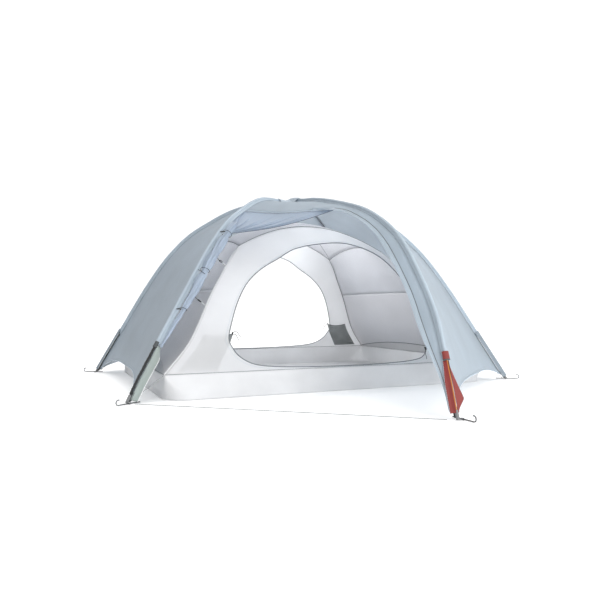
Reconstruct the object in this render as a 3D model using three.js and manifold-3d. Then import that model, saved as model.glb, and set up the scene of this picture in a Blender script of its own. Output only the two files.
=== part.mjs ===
// Two-door dome tent on three arch poles: fly, hung inner tent, feet, pegs, zips and toggles.
// Millimetres, +Z up, ground at z = 0, +X along the length of the sleeping area, +Y to the back.
// The tent is the same after half a turn about Z, so most pieces are made in pairs.
import * as THREE from 'three';
import { mergeVertices } from 'three/addons/utils/BufferGeometryUtils.js';
import Module from 'manifold-3d';

// ---- driving dimensions ----
const FOOT_X = 1218;            // half spread of the main pole feet, along
const FOOT_Y = 789;             // half spread of the main pole feet, across
const REACH_Y = 1801;           // vestibule pole foot, from the middle
const POLE_TOP = 1205;          // centre of the lowest pole at the crossing
// Arch outlines: share of the half spread, share of the pole height.
const MAIN_SHAPE = [[0, 1], [0.25, 0.981], [0.43, 0.883], [0.52, 0.814], [0.6, 0.724], [0.66, 0.64],
  [0.75, 0.486], [0.87, 0.256], [0.95, 0.102], [1, 0.005]];
const REACH_SHAPE = [[0, 1], [0.2, 0.977], [0.446, 0.896], [0.605, 0.82], [0.755, 0.689], [0.856, 0.516],
  [0.918, 0.373], [0.957, 0.217], [1, 0.005]];
const BOW = 62;                 // how far the door drags the legs beside it out of line
const POLE_R = 4.5;
const STACK = 2 * POLE_R + 2;   // rise of each further pole where they cross
const SLEEVE_IN = POLE_R + 1.8;
const SLEEVE_OUT = SLEEVE_IN + 1;
const LOW_IN = POLE_R + 1.1;    // black sleeve round the lower end of a main pole
const LOW_OUT = LOW_IN + 1.5;
const CUP_BORE = POLE_R + 0.8;
const CUP_R = CUP_BORE + 2.7;
const CUP_L = 42;
const CUP_FLOOR = 4;
const RIDGE_DROP = SLEEVE_OUT + 4.7;    // fly cloth below the pole centre line
const CLOTH = 1.5;
const SEAM = 1.6;               // half the gap left between neighbouring panels
const HOOD_Z = 285;             // where a main pole leaves the fly
const POCKET_Z = 262;           // top of a vestibule foot pocket
const TUB_H = 135;
// Inner tent corner: share of the pole height, inset along X from the main pole, gap to the fly.
const INNER_SHAPE = [[0.245, 176, 107], [0.465, 192, 148], [0.571, 209, 178], [0.653, 221, 204],
  [0.706, 236, 228]];
const TUB_INSET = [106, 23];
const FLOOR_IN_X = 5;           // floor edge against the tub's top edge
const FLOOR_OUT_Y = 10;
const ROOF_RISE_X = 150;        // roof edge above its corners, on the long and on the short sides
const ROOF_RISE_Y = 60;
const ROOF_PULL = 55;           // how far the long roof edge is drawn in at its middle
// Doorway outline: share of the floor's half length, share of the wall's height.
const DOOR = [[-0.641, 0.226], [-0.617, 0.137], [-0.56, 0.068], [-0.459, 0.031], [0.478, 0.031], [0.555, 0.068],
  [0.6, 0.158], [0.612, 0.295], [0.6, 0.5], [0.57, 0.7], [0.505, 0.87], [0.42, 0.98], [0.25, 1.06],
  [0.096, 1.06], [-0.144, 0.99], [-0.268, 0.895], [-0.392, 0.795], [-0.488, 0.678], [-0.555, 0.541],
  [-0.612, 0.363]];
// Rolled inner door: the same shares along the doorway's far edge.
const ROLL_EDGE = [[0.63, 0.09], [0.655, 0.25], [0.65, 0.42], [0.625, 0.58], [0.59, 0.72], [0.53, 0.86]];
const ZIP_AT = [-0.617, 0.28];

const V = (x, y, z) => new THREE.Vector3(x, y, z);
const UP = V(0, 0, 1);
const smooth = (t) => t * t * (3 - 2 * t);
const clamp = (t) => Math.min(1, Math.max(0, t));

// ---- mesh helpers ----
const group = new THREE.Group();
const paint = {
  fly: [0xc3d0dc, 0.6], inner: [0xe2e4e8, 0.75], tub: [0xd6d9de, 0.6], black: [0x1c1f22, 0.6],
  red: [0xa8433c, 0.65], pole: [0x2a2d31, 0.35], gold: [0xc9772e, 0.35], grey: [0x9aa0a6, 0.6],
  metal: [0xb9bdc2, 0.3], cord: [0xe9ebee, 0.8],
};
function add(name, geometry, key) {
  const [color, roughness] = paint[key];
  const metalness = key === 'metal' || key === 'pole' || key === 'gold' ? 0.8 : 0;
  const mesh = new THREE.Mesh(geometry, new THREE.MeshStandardMaterial({ color, roughness, metalness }));
  mesh.name = name;
  group.add(mesh);
}
function fromArrays(points, triangles) {
  const geometry = new THREE.BufferGeometry();
  geometry.setAttribute('position', new THREE.Float32BufferAttribute(points.flatMap((p) => [p.x, p.y, p.z]), 3));
  geometry.setIndex(triangles);
  return geometry;
}
// Cloth: a grid of points f(u, v) thickened both ways along its own normal.
function sheet(f, nu, nv, thick = CLOTH) {
  const grid = [];
  for (let j = 0; j <= nv; j += 1) {
    for (let i = 0; i <= nu; i += 1) grid.push(f(i / nu, j / nv));
  }
  const at = (i, j) => grid[j * (nu + 1) + i];
  const points = [];
  for (const side of [0.5, -0.5]) {
    for (let j = 0; j <= nv; j += 1) {
      for (let i = 0; i <= nu; i += 1) {
        const du = at(Math.min(i + 1, nu), j).clone().sub(at(Math.max(i - 1, 0), j));
        const dv = at(i, Math.min(j + 1, nv)).clone().sub(at(i, Math.max(j - 1, 0)));
        points.push(at(i, j).clone().addScaledVector(du.cross(dv).normalize(), side * thick));
      }
    }
  }
  const base = grid.length;
  const tri = [];
  const quad = (a, b, c, d) => tri.push(a, b, c, a, c, d);
  const id = (i, j) => j * (nu + 1) + i;
  for (let j = 0; j < nv; j += 1) {
    for (let i = 0; i < nu; i += 1) {
      quad(id(i, j), id(i + 1, j), id(i + 1, j + 1), id(i, j + 1));
      quad(base + id(i, j), base + id(i, j + 1), base + id(i + 1, j + 1), base + id(i + 1, j));
    }
  }
  for (let i = 0; i < nu; i += 1) {
    quad(id(i, 0), base + id(i, 0), base + id(i + 1, 0), id(i + 1, 0));
    quad(id(i + 1, nv), base + id(i + 1, nv), base + id(i, nv), id(i, nv));
  }
  for (let j = 0; j < nv; j += 1) {
    quad(id(0, j + 1), base + id(0, j + 1), base + id(0, j), id(0, j));
    quad(id(nu, j), base + id(nu, j), base + id(nu, j + 1), id(nu, j + 1));
  }
  return fromArrays(points, tri);
}
// Tube along a path; radius is [side, normal] per station, inner radius 0 makes it solid.
function tube(path, radius, inner, sides, ref) {
  const n = path.length - 1;
  const points = [];
  const shells = inner > 0 ? [0, inner] : [0];
  for (const hole of shells) {
    for (let k = 0; k <= n; k += 1) {
      const tan = path[Math.min(k + 1, n)].clone().sub(path[Math.max(k - 1, 0)]).normalize();
      const e1 = ref.clone().addScaledVector(tan, -ref.dot(tan)).normalize();
      const e2 = tan.clone().cross(e1);
      const r = hole ? [hole, hole] : radius(k / n);
      for (let s = 0; s < sides; s += 1) {
        const a = (2 * Math.PI * (s + 0.5)) / sides;
        points.push(path[k].clone().addScaledVector(e1, r[0] * Math.cos(a)).addScaledVector(e2, r[1] * Math.sin(a)));
      }
    }
  }
  const base = (n + 1) * sides;
  const tri = [];
  const quad = (a, b, c, d) => tri.push(a, b, c, a, c, d);
  for (let k = 0; k < n; k += 1) {
    for (let s = 0; s < sides; s += 1) {
      const a = k * sides + s;
      const b = k * sides + ((s + 1) % sides);
      quad(a, b, b + sides, a + sides);
      if (inner > 0) quad(base + a, base + a + sides, base + b + sides, base + b);
    }
  }
  for (let s = 0; s < sides; s += 1) {
    const t = (s + 1) % sides;
    const end = n * sides;
    if (inner > 0) {
      quad(s, base + s, base + t, t);
      quad(end + t, base + end + t, base + end + s, end + s);
    } else if (s > 0 && s < sides - 1) {
      tri.push(0, s + 1, s, end, end + s, end + s + 1);
    }
  }
  return fromArrays(points, tri);
}
const round = (r) => () => [r, r];
// Half turn about Z makes the twin of a piece.
const turned = (geometry) => geometry.clone().rotateZ(Math.PI);
function pair(first, second, geometry, key) {
  add(first, geometry, key);
  add(second, turned(geometry), key);
}

const wasm = await Module();
wasm.setup();
function toSolid(geometry) {
  let g = geometry.clone();
  for (const key of Object.keys(g.attributes)) if (key !== 'position') g.deleteAttribute(key);
  g = mergeVertices(g, 1e-4);
  const mesh = new wasm.Mesh({
    numProp: 3, vertProperties: new Float32Array(g.attributes.position.array), triVerts: new Uint32Array(g.index.array),
  });
  return new wasm.Manifold(mesh);
}
function fromSolid(solid) {
  const m = solid.getMesh();
  const geometry = new THREE.BufferGeometry();
  geometry.setAttribute('position', new THREE.Float32BufferAttribute(Float32Array.from(m.vertProperties), 3));
  geometry.setIndex(Array.from(m.triVerts));
  return geometry;
}

// ---- arches: w runs from 0 at a foot to 1 at the crossing ----
function arch(shape, half) {
  const side = shape.map(([s, z]) => V(s * half, 0, z * POLE_TOP));
  const all = side.slice(1).reverse().map((p) => V(-p.x, 0, p.z)).concat(side);
  return new THREE.CatmullRomCurve3(all, false, 'centripetal');
}
const mainHalf = Math.hypot(FOOT_X, FOOT_Y);
const mainArch = arch(MAIN_SHAPE, mainHalf);
const reachArch = arch(REACH_SHAPE, REACH_Y);
function leg(x, y, lift, bow = 0) {
  const curve = x === 0 ? reachArch : mainArch;
  const out = V(x, y, 0).normalize();
  const length = curve.getLength() / 2;
  const side = out.clone().cross(UP).normalize();
  const aside = (w) => -bow * Math.sin(Math.PI * clamp((w - 0.05) / 0.85)) ** 1.3;
  const point = (w) => {
    const p = curve.getPointAt(1 - w / 2);
    return out.clone().multiplyScalar(p.x).addScaledVector(UP, p.z).addScaledVector(side, aside(w));
  };
  const normal = (w) => {
    const t = curve.getTangentAt(1 - w / 2);
    return out.clone().multiplyScalar(-t.z).addScaledVector(UP, t.x);
  };
  const bump = (w) => lift * smooth(clamp(1 - ((1 - w) * length) / 260));
  return {
    out, length, point, normal, side,
    pole: (w) => point(w).addScaledVector(UP, bump(w)),
    ridge: (w) => point(w).addScaledVector(normal(w), -RIDGE_DROP),
    atHeight: (z) => {
      let w = 0;
      while (point(w).z < z) w += 0.002;
      return w;
    },
  };
}
// Feet, seen from above and going round: A front left, C front middle, D front right, then their twins.
const A = leg(-FOOT_X, -FOOT_Y, 0, BOW);
const C = leg(0, -REACH_Y, 2 * STACK);
const D = leg(FOOT_X, -FOOT_Y, STACK);
const E = leg(FOOT_X, FOOT_Y, 0, BOW);
const F = leg(0, REACH_Y, 2 * STACK);
const B = leg(-FOOT_X, FOOT_Y, STACK);
// Points of a leg from w = from to w = to, always on the same chords, so nested tubes stay nested.
const STATIONS = 16;
function run(l, from, to) {
  const knot = (k) => l.pole(k / STATIONS);
  const onChord = (w) => {
    const k = Math.min(Math.max(Math.floor(w * STATIONS), 0), STATIONS - 1);
    return knot(k).lerp(knot(k + 1), w * STATIONS - k);
  };
  const path = [onChord(from)];
  for (let k = 1; k < STATIONS; k += 1) {
    if (k / STATIONS > from + 0.01 && k / STATIONS < to - 0.01) path.push(knot(k));
  }
  return path.concat([onChord(to)]);
}
// The cup stands on the ground in line with the first chord of its pole.
function seat(l) {
  const tip = l.pole(0);
  const dir = l.pole(1 / STATIONS).sub(tip);
  const chord = dir.length();
  dir.normalize();
  const lift = CUP_R * Math.hypot(dir.x, dir.y) + 0.4;
  const back = (lift - tip.z) / dir.z;
  const share = (distance) => (back + distance) / chord / STATIONS;
  return { dir, base: tip.addScaledVector(dir, back), share };
}

// ---- poles ----
function wholePole(name, l1, l2, r, key) {
  const up = run(l1, seat(l1).share(CUP_FLOOR + 0.5), 1);
  const down = run(l2, seat(l2).share(CUP_FLOOR + 0.5), 1).reverse().slice(1);
  add(name, tube(up.concat(down), round(r), 0, 8, l1.side), key);
}
wholePole('pole_main_1', A, E, POLE_R, 'pole');
wholePole('pole_main_2', B, D, POLE_R, 'pole');
wholePole('pole_vestibule', C, F, POLE_R, 'gold');

// ---- pole sleeves on the fly, one per leg, and the crown patch over the crossing ----
function legSleeve(l, fromZ) {
  const path = run(l, l.atHeight(fromZ), 1 - 48 / l.length);
  return tube(path, round(SLEEVE_OUT), SLEEVE_IN, 8, l.side);
}
pair('sleeve_main_front_left', 'sleeve_main_back_right', legSleeve(A, HOOD_Z), 'fly');
add('sleeve_main_front_right', legSleeve(D, HOOD_Z), 'fly');
add('sleeve_main_back_left', legSleeve(B, HOOD_Z), 'fly');
pair('sleeve_vestibule_front', 'sleeve_vestibule_back', legSleeve(C, POCKET_Z + 12), 'fly');
const crownDisc = (() => {
  const profile = [];
  const z0 = POLE_TOP + 2 * STACK + POLE_R + 3;
  for (let k = 0; k <= 4; k += 1) profile.push([20 * k, z0 - 6 * (k / 4) ** 2]);
  for (let k = 4; k >= 0; k -= 1) profile.push([20 * k, z0 + CLOTH - 6 * (k / 4) ** 2]);
  const g = new THREE.LatheGeometry(profile.map(([x, y]) => new THREE.Vector2(x, y)), 16);
  return fromSolid(toSolid(g.rotateX(Math.PI / 2)));
})();
add('crown_patch', crownDisc, 'fly');

// ---- black sleeves round the lower ends of the main poles ----
function lowSleeve(l) {
  return tube(run(l, seat(l).share(CUP_L + 4), l.atHeight(HOOD_Z) - 5 / l.length), round(LOW_OUT), LOW_IN, 8, l.side);
}
pair('low_sleeve_front_left', 'low_sleeve_back_right', lowSleeve(A), 'black');
pair('low_sleeve_front_right', 'low_sleeve_back_left', lowSleeve(D), 'black');

// ---- fly panels ----
const HEM = 34;                 // height of a panel corner above the ground at a foot
const topOf = (l) => 1 - 22 / l.length;
function between(p, q, u, inset) {
  const gap = inset / p.distanceTo(q);
  return p.clone().lerp(q, gap + (1 - 2 * gap) * u);
}
// Cloth between two legs, hollowed by sag and with its hem drawn up in an arc.
function tautPoint(l1, l2, u, v, rise, sag) {
  const hem1 = l1.atHeight(HEM);
  const hem2 = l2.atHeight(HEM);
  const arc = 4 * u * (1 - u);
  const lift = rise * (1 - (2 * u - 1) ** 4);
  const f = lift + (1 - lift) * v;
  const p = l1.ridge(hem1 + (topOf(l1) - hem1) * f);
  const q = l2.ridge(hem2 + (topOf(l2) - hem2) * f);
  const n1 = l1.normal(f);
  const n2 = l2.normal(f);
  const inward = n1.lerp(n2, u).normalize();
  return between(p, q, u, SEAM).addScaledVector(inward, -sag * arc * (1 - f) ** 0.6);
}
const endPanel = (l1, l2) => sheet((u, v) => tautPoint(l1, l2, u, v, 0.06, 24), 8, 12);
pair('fly_end_left', 'fly_end_right', endPanel(B, A), 'fly');

// Width of the strip carrying the door zip, beside the vestibule pole.
const stripWidth = (f) => 24 + 64 * smooth(clamp(f / 0.2));
// The closed vestibule panel wraps under its pole and ends at the zip strip.
const vestibulePanel = sheet((u, v) => {
  const split = 0.14;
  const hemC = C.atHeight(HEM);
  if (u < split) {
    const k = 1 - u / split;
    const w = hemC + (topOf(C) - hemC) * v;
    const hemA = A.atHeight(HEM);
    const p = C.ridge(w);
    const q = A.ridge(hemA + (topOf(A) - hemA) * v);
    const width = Math.min(stripWidth(v), 0.4 * p.distanceTo(q));
    return p.clone().addScaledVector(q.sub(p).normalize(), k * width);
  }
  return tautPoint(C, D, (u - split) / (1 - split) * 0.9985 + 0.0001, v, 0.044, 22);
}, 10, 14);
pair('fly_vestibule_front', 'fly_vestibule_back', vestibulePanel, 'fly');

// The canopy left over the doorway above the rolled door.
const LIP_A = 0.69;
const LIP_C = 0.64;
const STRIP_GAP = 8;            // between the canopy's edge and the zip strip
function canopyPoint(u, v, drop) {
  const fLip = LIP_A + (LIP_C - LIP_A) * u;
  const f = fLip + (0.985 - fLip) * v;
  const hemA = A.atHeight(HEM);
  const hemC = C.atHeight(HEM);
  const p = A.ridge(hemA + (topOf(A) - hemA) * f);
  const q = C.ridge(hemC + (topOf(C) - hemC) * f);
  const width = Math.min(stripWidth(f), 0.4 * p.distanceTo(q));
  const edge = q.clone().addScaledVector(p.clone().sub(q).normalize(), width + STRIP_GAP);
  const inward = A.normal(f).lerp(C.normal(f), u).normalize();
  return between(p, edge, u, SEAM).addScaledVector(inward, -drop - 10 * 4 * u * (1 - u) * (1 - v));
}
pair('fly_canopy_front', 'fly_canopy_back', sheet((u, v) => canopyPoint(u, v, 0), 6, 4), 'fly');

// ---- rolled fly doors, tied along the leg and under the canopy lip ----
function rollPath() {
  const stations = [0.17, 0.26, 0.36, 0.46, 0.56, 0.63].map((w) => {
    const swell = smooth(clamp((w - 0.17) / 0.2));
    const beside = A.point(w).addScaledVector(A.side, -(28 + 10 * swell));
    return beside.addScaledVector(A.normal(w), -(16 + 6 * swell));
  });
  for (const u of [0.22, 0.46, 0.7, 0.9]) stations.push(canopyPoint(u, 0.05, 44 - 20 * u));
  return new THREE.CatmullRomCurve3(stations, false, 'centripetal').getSpacedPoints(24);
}
// Thin at the foot, full where it turns under the lip, thin again at the vestibule pole.
const rollSize = (t) => {
  const full = smooth(clamp(t / 0.3)) * smooth(clamp((1 - t) / 0.28));
  return [8 + 10 * full, 10 + 14 * full];
};
pair('fly_door_roll_front', 'fly_door_roll_back', tube(rollPath(), rollSize, 0, 10, A.normal(0.55)), 'fly');

// Toggles that tie the rolled doors.
function toggle(w) {
  const centre = A.point(w).addScaledVector(A.side, -36).addScaledVector(A.normal(w), 6);
  const path = [-19, -10, 0, 10, 19].map((k) => centre.clone().addScaledVector(A.side, k));
  return tube(path, (t) => [2.2 + 1.2 * Math.sin(Math.PI * t), 2.2 + 1.2 * Math.sin(Math.PI * t)], 0, 8, UP);
}
pair('toggle_low_front', 'toggle_low_back', toggle(0.27), 'black');
pair('toggle_high_front', 'toggle_high_back', toggle(0.545), 'black');

// ---- vestibule foot pockets: a wing each side of the pole, wrapped over its front ----
const POCKET_LEFT = 22;
const POCKET_RIGHT = 110;
const pocket = sheet((u, v) => {
  const x = -POCKET_LEFT + (POCKET_LEFT + POCKET_RIGHT) * u;
  const share = clamp(x / POCKET_RIGHT);
  const low = 52 + 44 * share ** 1.5;
  const high = POCKET_Z + (low + 8 - POCKET_Z) * share;
  const w = C.atHeight(low + (high - low) * v);
  const ridge = C.ridge(w);
  const to = (x < 0 ? A : D).ridge(w).sub(ridge).normalize();
  const over = RIDGE_DROP + SLEEVE_OUT + 4 - 14 * smooth(clamp((Math.abs(x) - 8) / 16));
  return ridge.addScaledVector(to, Math.abs(x)).addScaledVector(C.normal(w), over);
}, 12, 6);
pair('foot_pocket_front', 'foot_pocket_back', pocket, 'red');

// ---- feet: a cup for the pole tip with an eye for the peg, and the peg itself ----
const PEG_R = 3;
const PEG_Z = 5.2;
const PEG_SIDE = CUP_R + 16;
function foot(l) {
  const { dir, base } = seat(l);
  const profile = [[0, 0], [CUP_R, 0], [CUP_R, CUP_L], [CUP_BORE, CUP_L], [CUP_BORE, CUP_FLOOR], [0, CUP_FLOOR]];
  const cup = new THREE.LatheGeometry(profile.map(([x, y]) => new THREE.Vector2(x, y)), 12);
  cup.applyQuaternion(new THREE.Quaternion().setFromUnitVectors(V(0, 1, 0), dir));
  cup.translate(base.x, base.y, base.z);
  const angle = Math.atan2(l.out.y, l.out.x);
  const place = (g) => g.rotateZ(angle).translate(base.x, base.y, 0);
  const near = CUP_BORE + 1.2;
  const far = PEG_SIDE - 4;
  const strap = place(new THREE.BoxGeometry(12, far - near, 2.4).translate(0, (near + far) / 2, PEG_Z));
  const ring = [-7, 7].map((x) => V(x, PEG_SIDE, PEG_Z));
  const eye = place(tube(ring, round(5), 3.6, 10, UP));
  return fromSolid(toSolid(cup).add(toSolid(strap)).add(toSolid(eye)));
}
function peg(l) {
  const pts = [V(-64, 0, 0), V(-20, 0, 0), V(30, 0, 0), V(72, 0, 0), V(82, 0, 3), V(85, 0, 12), V(83, 0, 20),
    V(76, 0, 25), V(66, 0, 25)];
  const { base } = seat(l);
  const angle = Math.atan2(l.out.y, l.out.x);
  const g = tube(pts.map((p) => p.add(V(0, PEG_SIDE, PEG_Z))), round(PEG_R), 0, 8, V(0, 1, 0));
  return g.rotateZ(angle).translate(base.x, base.y, 0);
}
for (const [l, first, second] of [[A, 'front_left', 'back_right'], [C, 'front', 'back'], [D, 'front_right', 'back_left']]) {
  pair(`foot_${first}`, `foot_${second}`, foot(l), 'grey');
  pair(`peg_${first}`, `peg_${second}`, peg(l), 'metal');
}

// ---- inner tent: tub floor, four walls and a roof ----
function frustum(x0, y0, x1, y1, z0, z1) {
  const p = [];
  for (const [x, y, z] of [[x0, y0, z0], [x1, y1, z1]]) {
    for (const [i, j] of [[-1, -1], [1, -1], [1, 1], [-1, 1]]) p.push(V(i * x, j * y, z));
  }
  const tri = [0, 2, 1, 0, 3, 2, 4, 5, 6, 4, 6, 7];
  for (let k = 0; k < 4; k += 1) {
    const n = (k + 1) % 4;
    tri.push(k, n, n + 4, k, n + 4, k + 4);
  }
  return toSolid(fromArrays(p, tri));
}
// A corner point of the inner tent at height z: inset from the main pole and clear of the fly's chord.
function innerCorner(z, inset, clear) {
  const w = D.atHeight(z);
  const p = D.ridge(w);
  const q = C.ridge(w);
  const slope = (p.y - q.y) / p.x;
  return V(p.x - inset, -p.y + inset * slope - clear * Math.hypot(1, slope), z);
}
const tubTop = innerCorner(TUB_H, ...TUB_INSET);
const [TUB_X, TUB_Y] = [tubTop.x, tubTop.y];
const [FLOOR_X, FLOOR_Y] = [TUB_X - FLOOR_IN_X, TUB_Y + FLOOR_OUT_Y];
const WALL = [V(TUB_X, TUB_Y, TUB_H + 1.5), ...INNER_SHAPE.map(([h, x, g]) => innerCorner(h * POLE_TOP, x, g))];
const tub = frustum(FLOOR_X, FLOOR_Y, TUB_X, TUB_Y, 0, TUB_H)
  .subtract(frustum(FLOOR_X - 2, FLOOR_Y - 2, TUB_X - 2, TUB_Y - 2, 2, TUB_H + 2));
add('inner_tub', fromSolid(tub), 'tub');

const corner = new THREE.CatmullRomCurve3(WALL, false, 'centripetal');
const roofCorner = WALL.at(-1);
function wallPoint(long, sign, u, v, push) {
  const p = corner.getPoint(v);
  const s = 2 * u - 1;
  const bow = (1 - s * s) * v ** 3;
  const rise = (long ? ROOF_RISE_X : ROOF_RISE_Y) * bow;
  const gap = SEAM;
  return long
    ? V(sign * s * (p.x - gap), sign * -1 * (p.y - push - ROOF_PULL * bow), p.z + rise)
    : V(sign * (p.x - push), sign * s * (p.y - gap), p.z + rise);
}
const wallRise = roofCorner.z - TUB_H;
const onWall = ([x, z]) => V(x * TUB_X, TUB_H + z * wallRise, 0);
const longWall = toSolid(sheet((u, v) => wallPoint(true, 1, u, v, 0), 10, 8));
const doorShape = new THREE.Shape(new THREE.CatmullRomCurve3(DOOR.map(onWall), true)
  .getSpacedPoints(30).map((p) => new THREE.Vector2(p.x, p.y)));
const doorPrism = new THREE.ExtrudeGeometry(doorShape, { depth: 900, bevelEnabled: false, curveSegments: 1 });
const doorCut = toSolid(doorPrism.rotateX(Math.PI / 2));
pair('inner_wall_front', 'inner_wall_back', fromSolid(longWall.subtract(doorCut)), 'inner');
pair('inner_wall_right', 'inner_wall_left', sheet((u, v) => wallPoint(false, 1, u, v, 0), 8, 8), 'inner');
add('inner_roof', sheet((u, v) => {
  const s = 2 * u - 1;
  const t = 2 * v - 1;
  const y = t * (roofCorner.y - 4 - ROOF_PULL * (1 - s * s));
  return V(s * (roofCorner.x - 4), y, roofCorner.z + 3 + ROOF_RISE_X * (1 - s * s) + ROOF_RISE_Y * (1 - t * t));
}, 8, 8), 'inner');

// Rolled inner doors, tied back along the far edge of each doorway, on the vestibule side.
const wallYAt = (z) => {
  const k = WALL.findIndex((p) => p.z >= z);
  const [low, high] = [WALL[k - 1], WALL[k]];
  return low.y + ((high.y - low.y) * (z - low.z)) / (high.z - low.z);
};
const rollIn = ROLL_EDGE.map(onWall).map((p) => V(p.x, -wallYAt(p.y) - 30, p.y));
pair('inner_door_roll_front', 'inner_door_roll_back', tube(rollIn, (t) => {
  const r = 9 + 9 * Math.sin(Math.PI * t);
  return [r, r];
}, 0, 8, V(0, 1, 0)), 'inner');

// Stash pockets inside, beside each doorway.
const stash = sheet((u, v) => {
  return wallPoint(true, 1, 0.035 + 0.09 * u, 0.02 + 0.2 * v, 9);
}, 3, 3, 4);
pair('stash_pocket_front', 'stash_pocket_back', stash, 'grey');

// ---- zip sliders ----
function slider(centre, along, out, name1, name2) {
  const body = new THREE.BoxGeometry(7, 14, 4).toNonIndexed();
  const m = new THREE.Matrix4().makeBasis(along.clone().cross(out).normalize(), along.clone().normalize(), out.clone().normalize());
  body.applyMatrix4(m).translate(centre.x, centre.y, centre.z);
  pair(name1, name2, fromSolid(toSolid(body)), 'black');
}
const zipF = 0.12;
const stripEdge = (f, extra) => {
  const hemC = C.atHeight(HEM);
  const hemA = A.atHeight(HEM);
  const p = C.ridge(hemC + (topOf(C) - hemC) * f);
  const q = A.ridge(hemA + (topOf(A) - hemA) * f);
  return p.clone().addScaledVector(q.sub(p).normalize(), stripWidth(f) + extra);
};
const ZIP_GAP = 8;
const flyAlong = stripEdge(zipF + 0.03, ZIP_GAP).sub(stripEdge(zipF - 0.02, ZIP_GAP)).normalize();
slider(stripEdge(zipF, ZIP_GAP), flyAlong, C.normal(0.1), 'zip_fly_front', 'zip_fly_back');
const wallLean = Math.atan2(WALL[0].y - WALL[2].y, WALL[2].z - WALL[0].z);
const inOut = V(0, -Math.cos(wallLean), -Math.sin(wallLean)).multiplyScalar(-1);
const inAlong = V(0.32, Math.sin(wallLean) * 0.95, Math.cos(wallLean) * 0.95).normalize();
const inOutT = inOut.clone().addScaledVector(inAlong, -inOut.dot(inAlong)).normalize();
const zipIn = onWall(ZIP_AT);
slider(V(zipIn.x, -wallYAt(zipIn.y), zipIn.y), inAlong, inOutT, 'zip_inner_front', 'zip_inner_back');

// ---- cords: inner corners to the pole feet, and the base cord under each doorway ----
const cord = (p, q, r) => tube([p, p.clone().lerp(q, 0.33), p.clone().lerp(q, 0.67), q], round(r), 0, 8, UP);
for (const [l, sx, sy, first, second] of [[A, -1, -1, 'front_left', 'back_right'], [D, 1, -1, 'front_right', 'back_left']]) {
  const p = V(sx * (TUB_X + 4), sy * (TUB_Y - 12), TUB_H - 6);
  const q = seat(l).base.addScaledVector(l.out, -26).setZ(10);
  pair(`corner_cord_${first}`, `corner_cord_${second}`, cord(p, q, 1.5), 'cord');
}
const fromA = A.point(0).setZ(2);
const toC = C.point(0).setZ(2);
const way = toC.clone().sub(fromA).normalize();
pair('base_cord_front', 'base_cord_back',
  cord(fromA.clone().addScaledVector(way, 44), toC.clone().addScaledVector(way, -44), 1.4), 'cord');

export default group;
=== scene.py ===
import bpy, bmesh, math
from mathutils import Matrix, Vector, noise


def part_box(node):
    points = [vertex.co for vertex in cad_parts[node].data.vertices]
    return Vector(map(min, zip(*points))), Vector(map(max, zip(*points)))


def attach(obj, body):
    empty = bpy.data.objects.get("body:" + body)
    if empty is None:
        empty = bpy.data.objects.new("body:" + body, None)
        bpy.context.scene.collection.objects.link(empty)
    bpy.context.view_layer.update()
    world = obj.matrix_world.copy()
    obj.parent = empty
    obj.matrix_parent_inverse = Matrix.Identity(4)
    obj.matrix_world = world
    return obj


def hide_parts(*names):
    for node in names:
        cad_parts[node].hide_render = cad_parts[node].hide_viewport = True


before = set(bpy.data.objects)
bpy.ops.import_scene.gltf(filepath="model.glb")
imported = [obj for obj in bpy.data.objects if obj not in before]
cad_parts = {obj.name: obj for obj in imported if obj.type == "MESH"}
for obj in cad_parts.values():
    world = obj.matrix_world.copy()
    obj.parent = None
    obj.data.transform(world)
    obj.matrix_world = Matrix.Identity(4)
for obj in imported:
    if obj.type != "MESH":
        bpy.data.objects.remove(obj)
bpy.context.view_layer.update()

# ---- camera ----
# A low view from the open door's side, almost level.
heading, tilt = math.radians(24.104), math.radians(0.654)
lens = bpy.data.cameras.new("camera")
lens.lens, lens.sensor_width = 35.51, 36
camera = bpy.data.objects.new("camera", lens)
camera.location = (-1.6337, -3.8177, 0.4812)
ahead = Vector((math.sin(heading) * math.cos(tilt), math.cos(heading) * math.cos(tilt), math.sin(tilt)))
camera.rotation_euler = ahead.to_track_quat("-Z", "Y").to_euler()
bpy.context.scene.collection.objects.link(camera)
bpy.context.scene.camera = camera

# ---- pole legs: the lines that the cloth, the cords and the sleeves follow ----
# Two dark poles cross over the sleeping area and one orange pole crosses over the porches.
# Each leg is half an arch, from its foot (w = 0) to the crossing (w = 1).
FOOT = Vector((1.218, 0.789, 0))
REACH = 1.801
TOP = 1.205
MAIN = [(0, 1), (0.25, 0.981), (0.43, 0.883), (0.52, 0.814), (0.6, 0.724), (0.66, 0.64), (0.75, 0.486),
        (0.87, 0.256), (0.95, 0.102), (1, 0.005)]
PORCH = [(0, 1), (0.2, 0.977), (0.446, 0.896), (0.605, 0.82), (0.755, 0.689), (0.856, 0.516), (0.918, 0.373),
         (0.957, 0.217), (1, 0.005)]
BOW = 0.062                     # how far the door drags the legs beside it out of line
POLE_R = 0.0045
STACK = 2 * POLE_R + 0.002
DROP = 0.012                    # cloth below the middle of the pole
UP = Vector((0, 0, 1))


def smooth(t):
    t = min(1.0, max(0.0, t))
    return t * t * (3 - 2 * t)


def curve_through(knots, per=60):
    """A smooth line through knots, cut fine."""
    line = []
    for i in range(len(knots) - 1):
        b, c = knots[i], knots[i + 1]
        a = knots[i - 1] if i else 2 * b - c
        d = knots[i + 2] if i + 2 < len(knots) else 2 * c - b
        ab, bc, cd = ((q - p).length ** 0.5 for p, q in ((a, b), (b, c), (c, d)))
        m1 = ((b - a) / ab - (c - a) / (ab + bc) + (c - b) / bc) * bc
        m2 = ((c - b) / bc - (d - b) / (bc + cd) + (d - c) / cd) * bc
        for k in range(per):
            t = k / per
            line.append(b * (2 * t**3 - 3 * t**2 + 1) + c * (3 * t**2 - 2 * t**3)
                        + m1 * (t**3 - 2 * t**2 + t) + m2 * (t**3 - t**2))
    return line + [knots[-1]]


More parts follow.
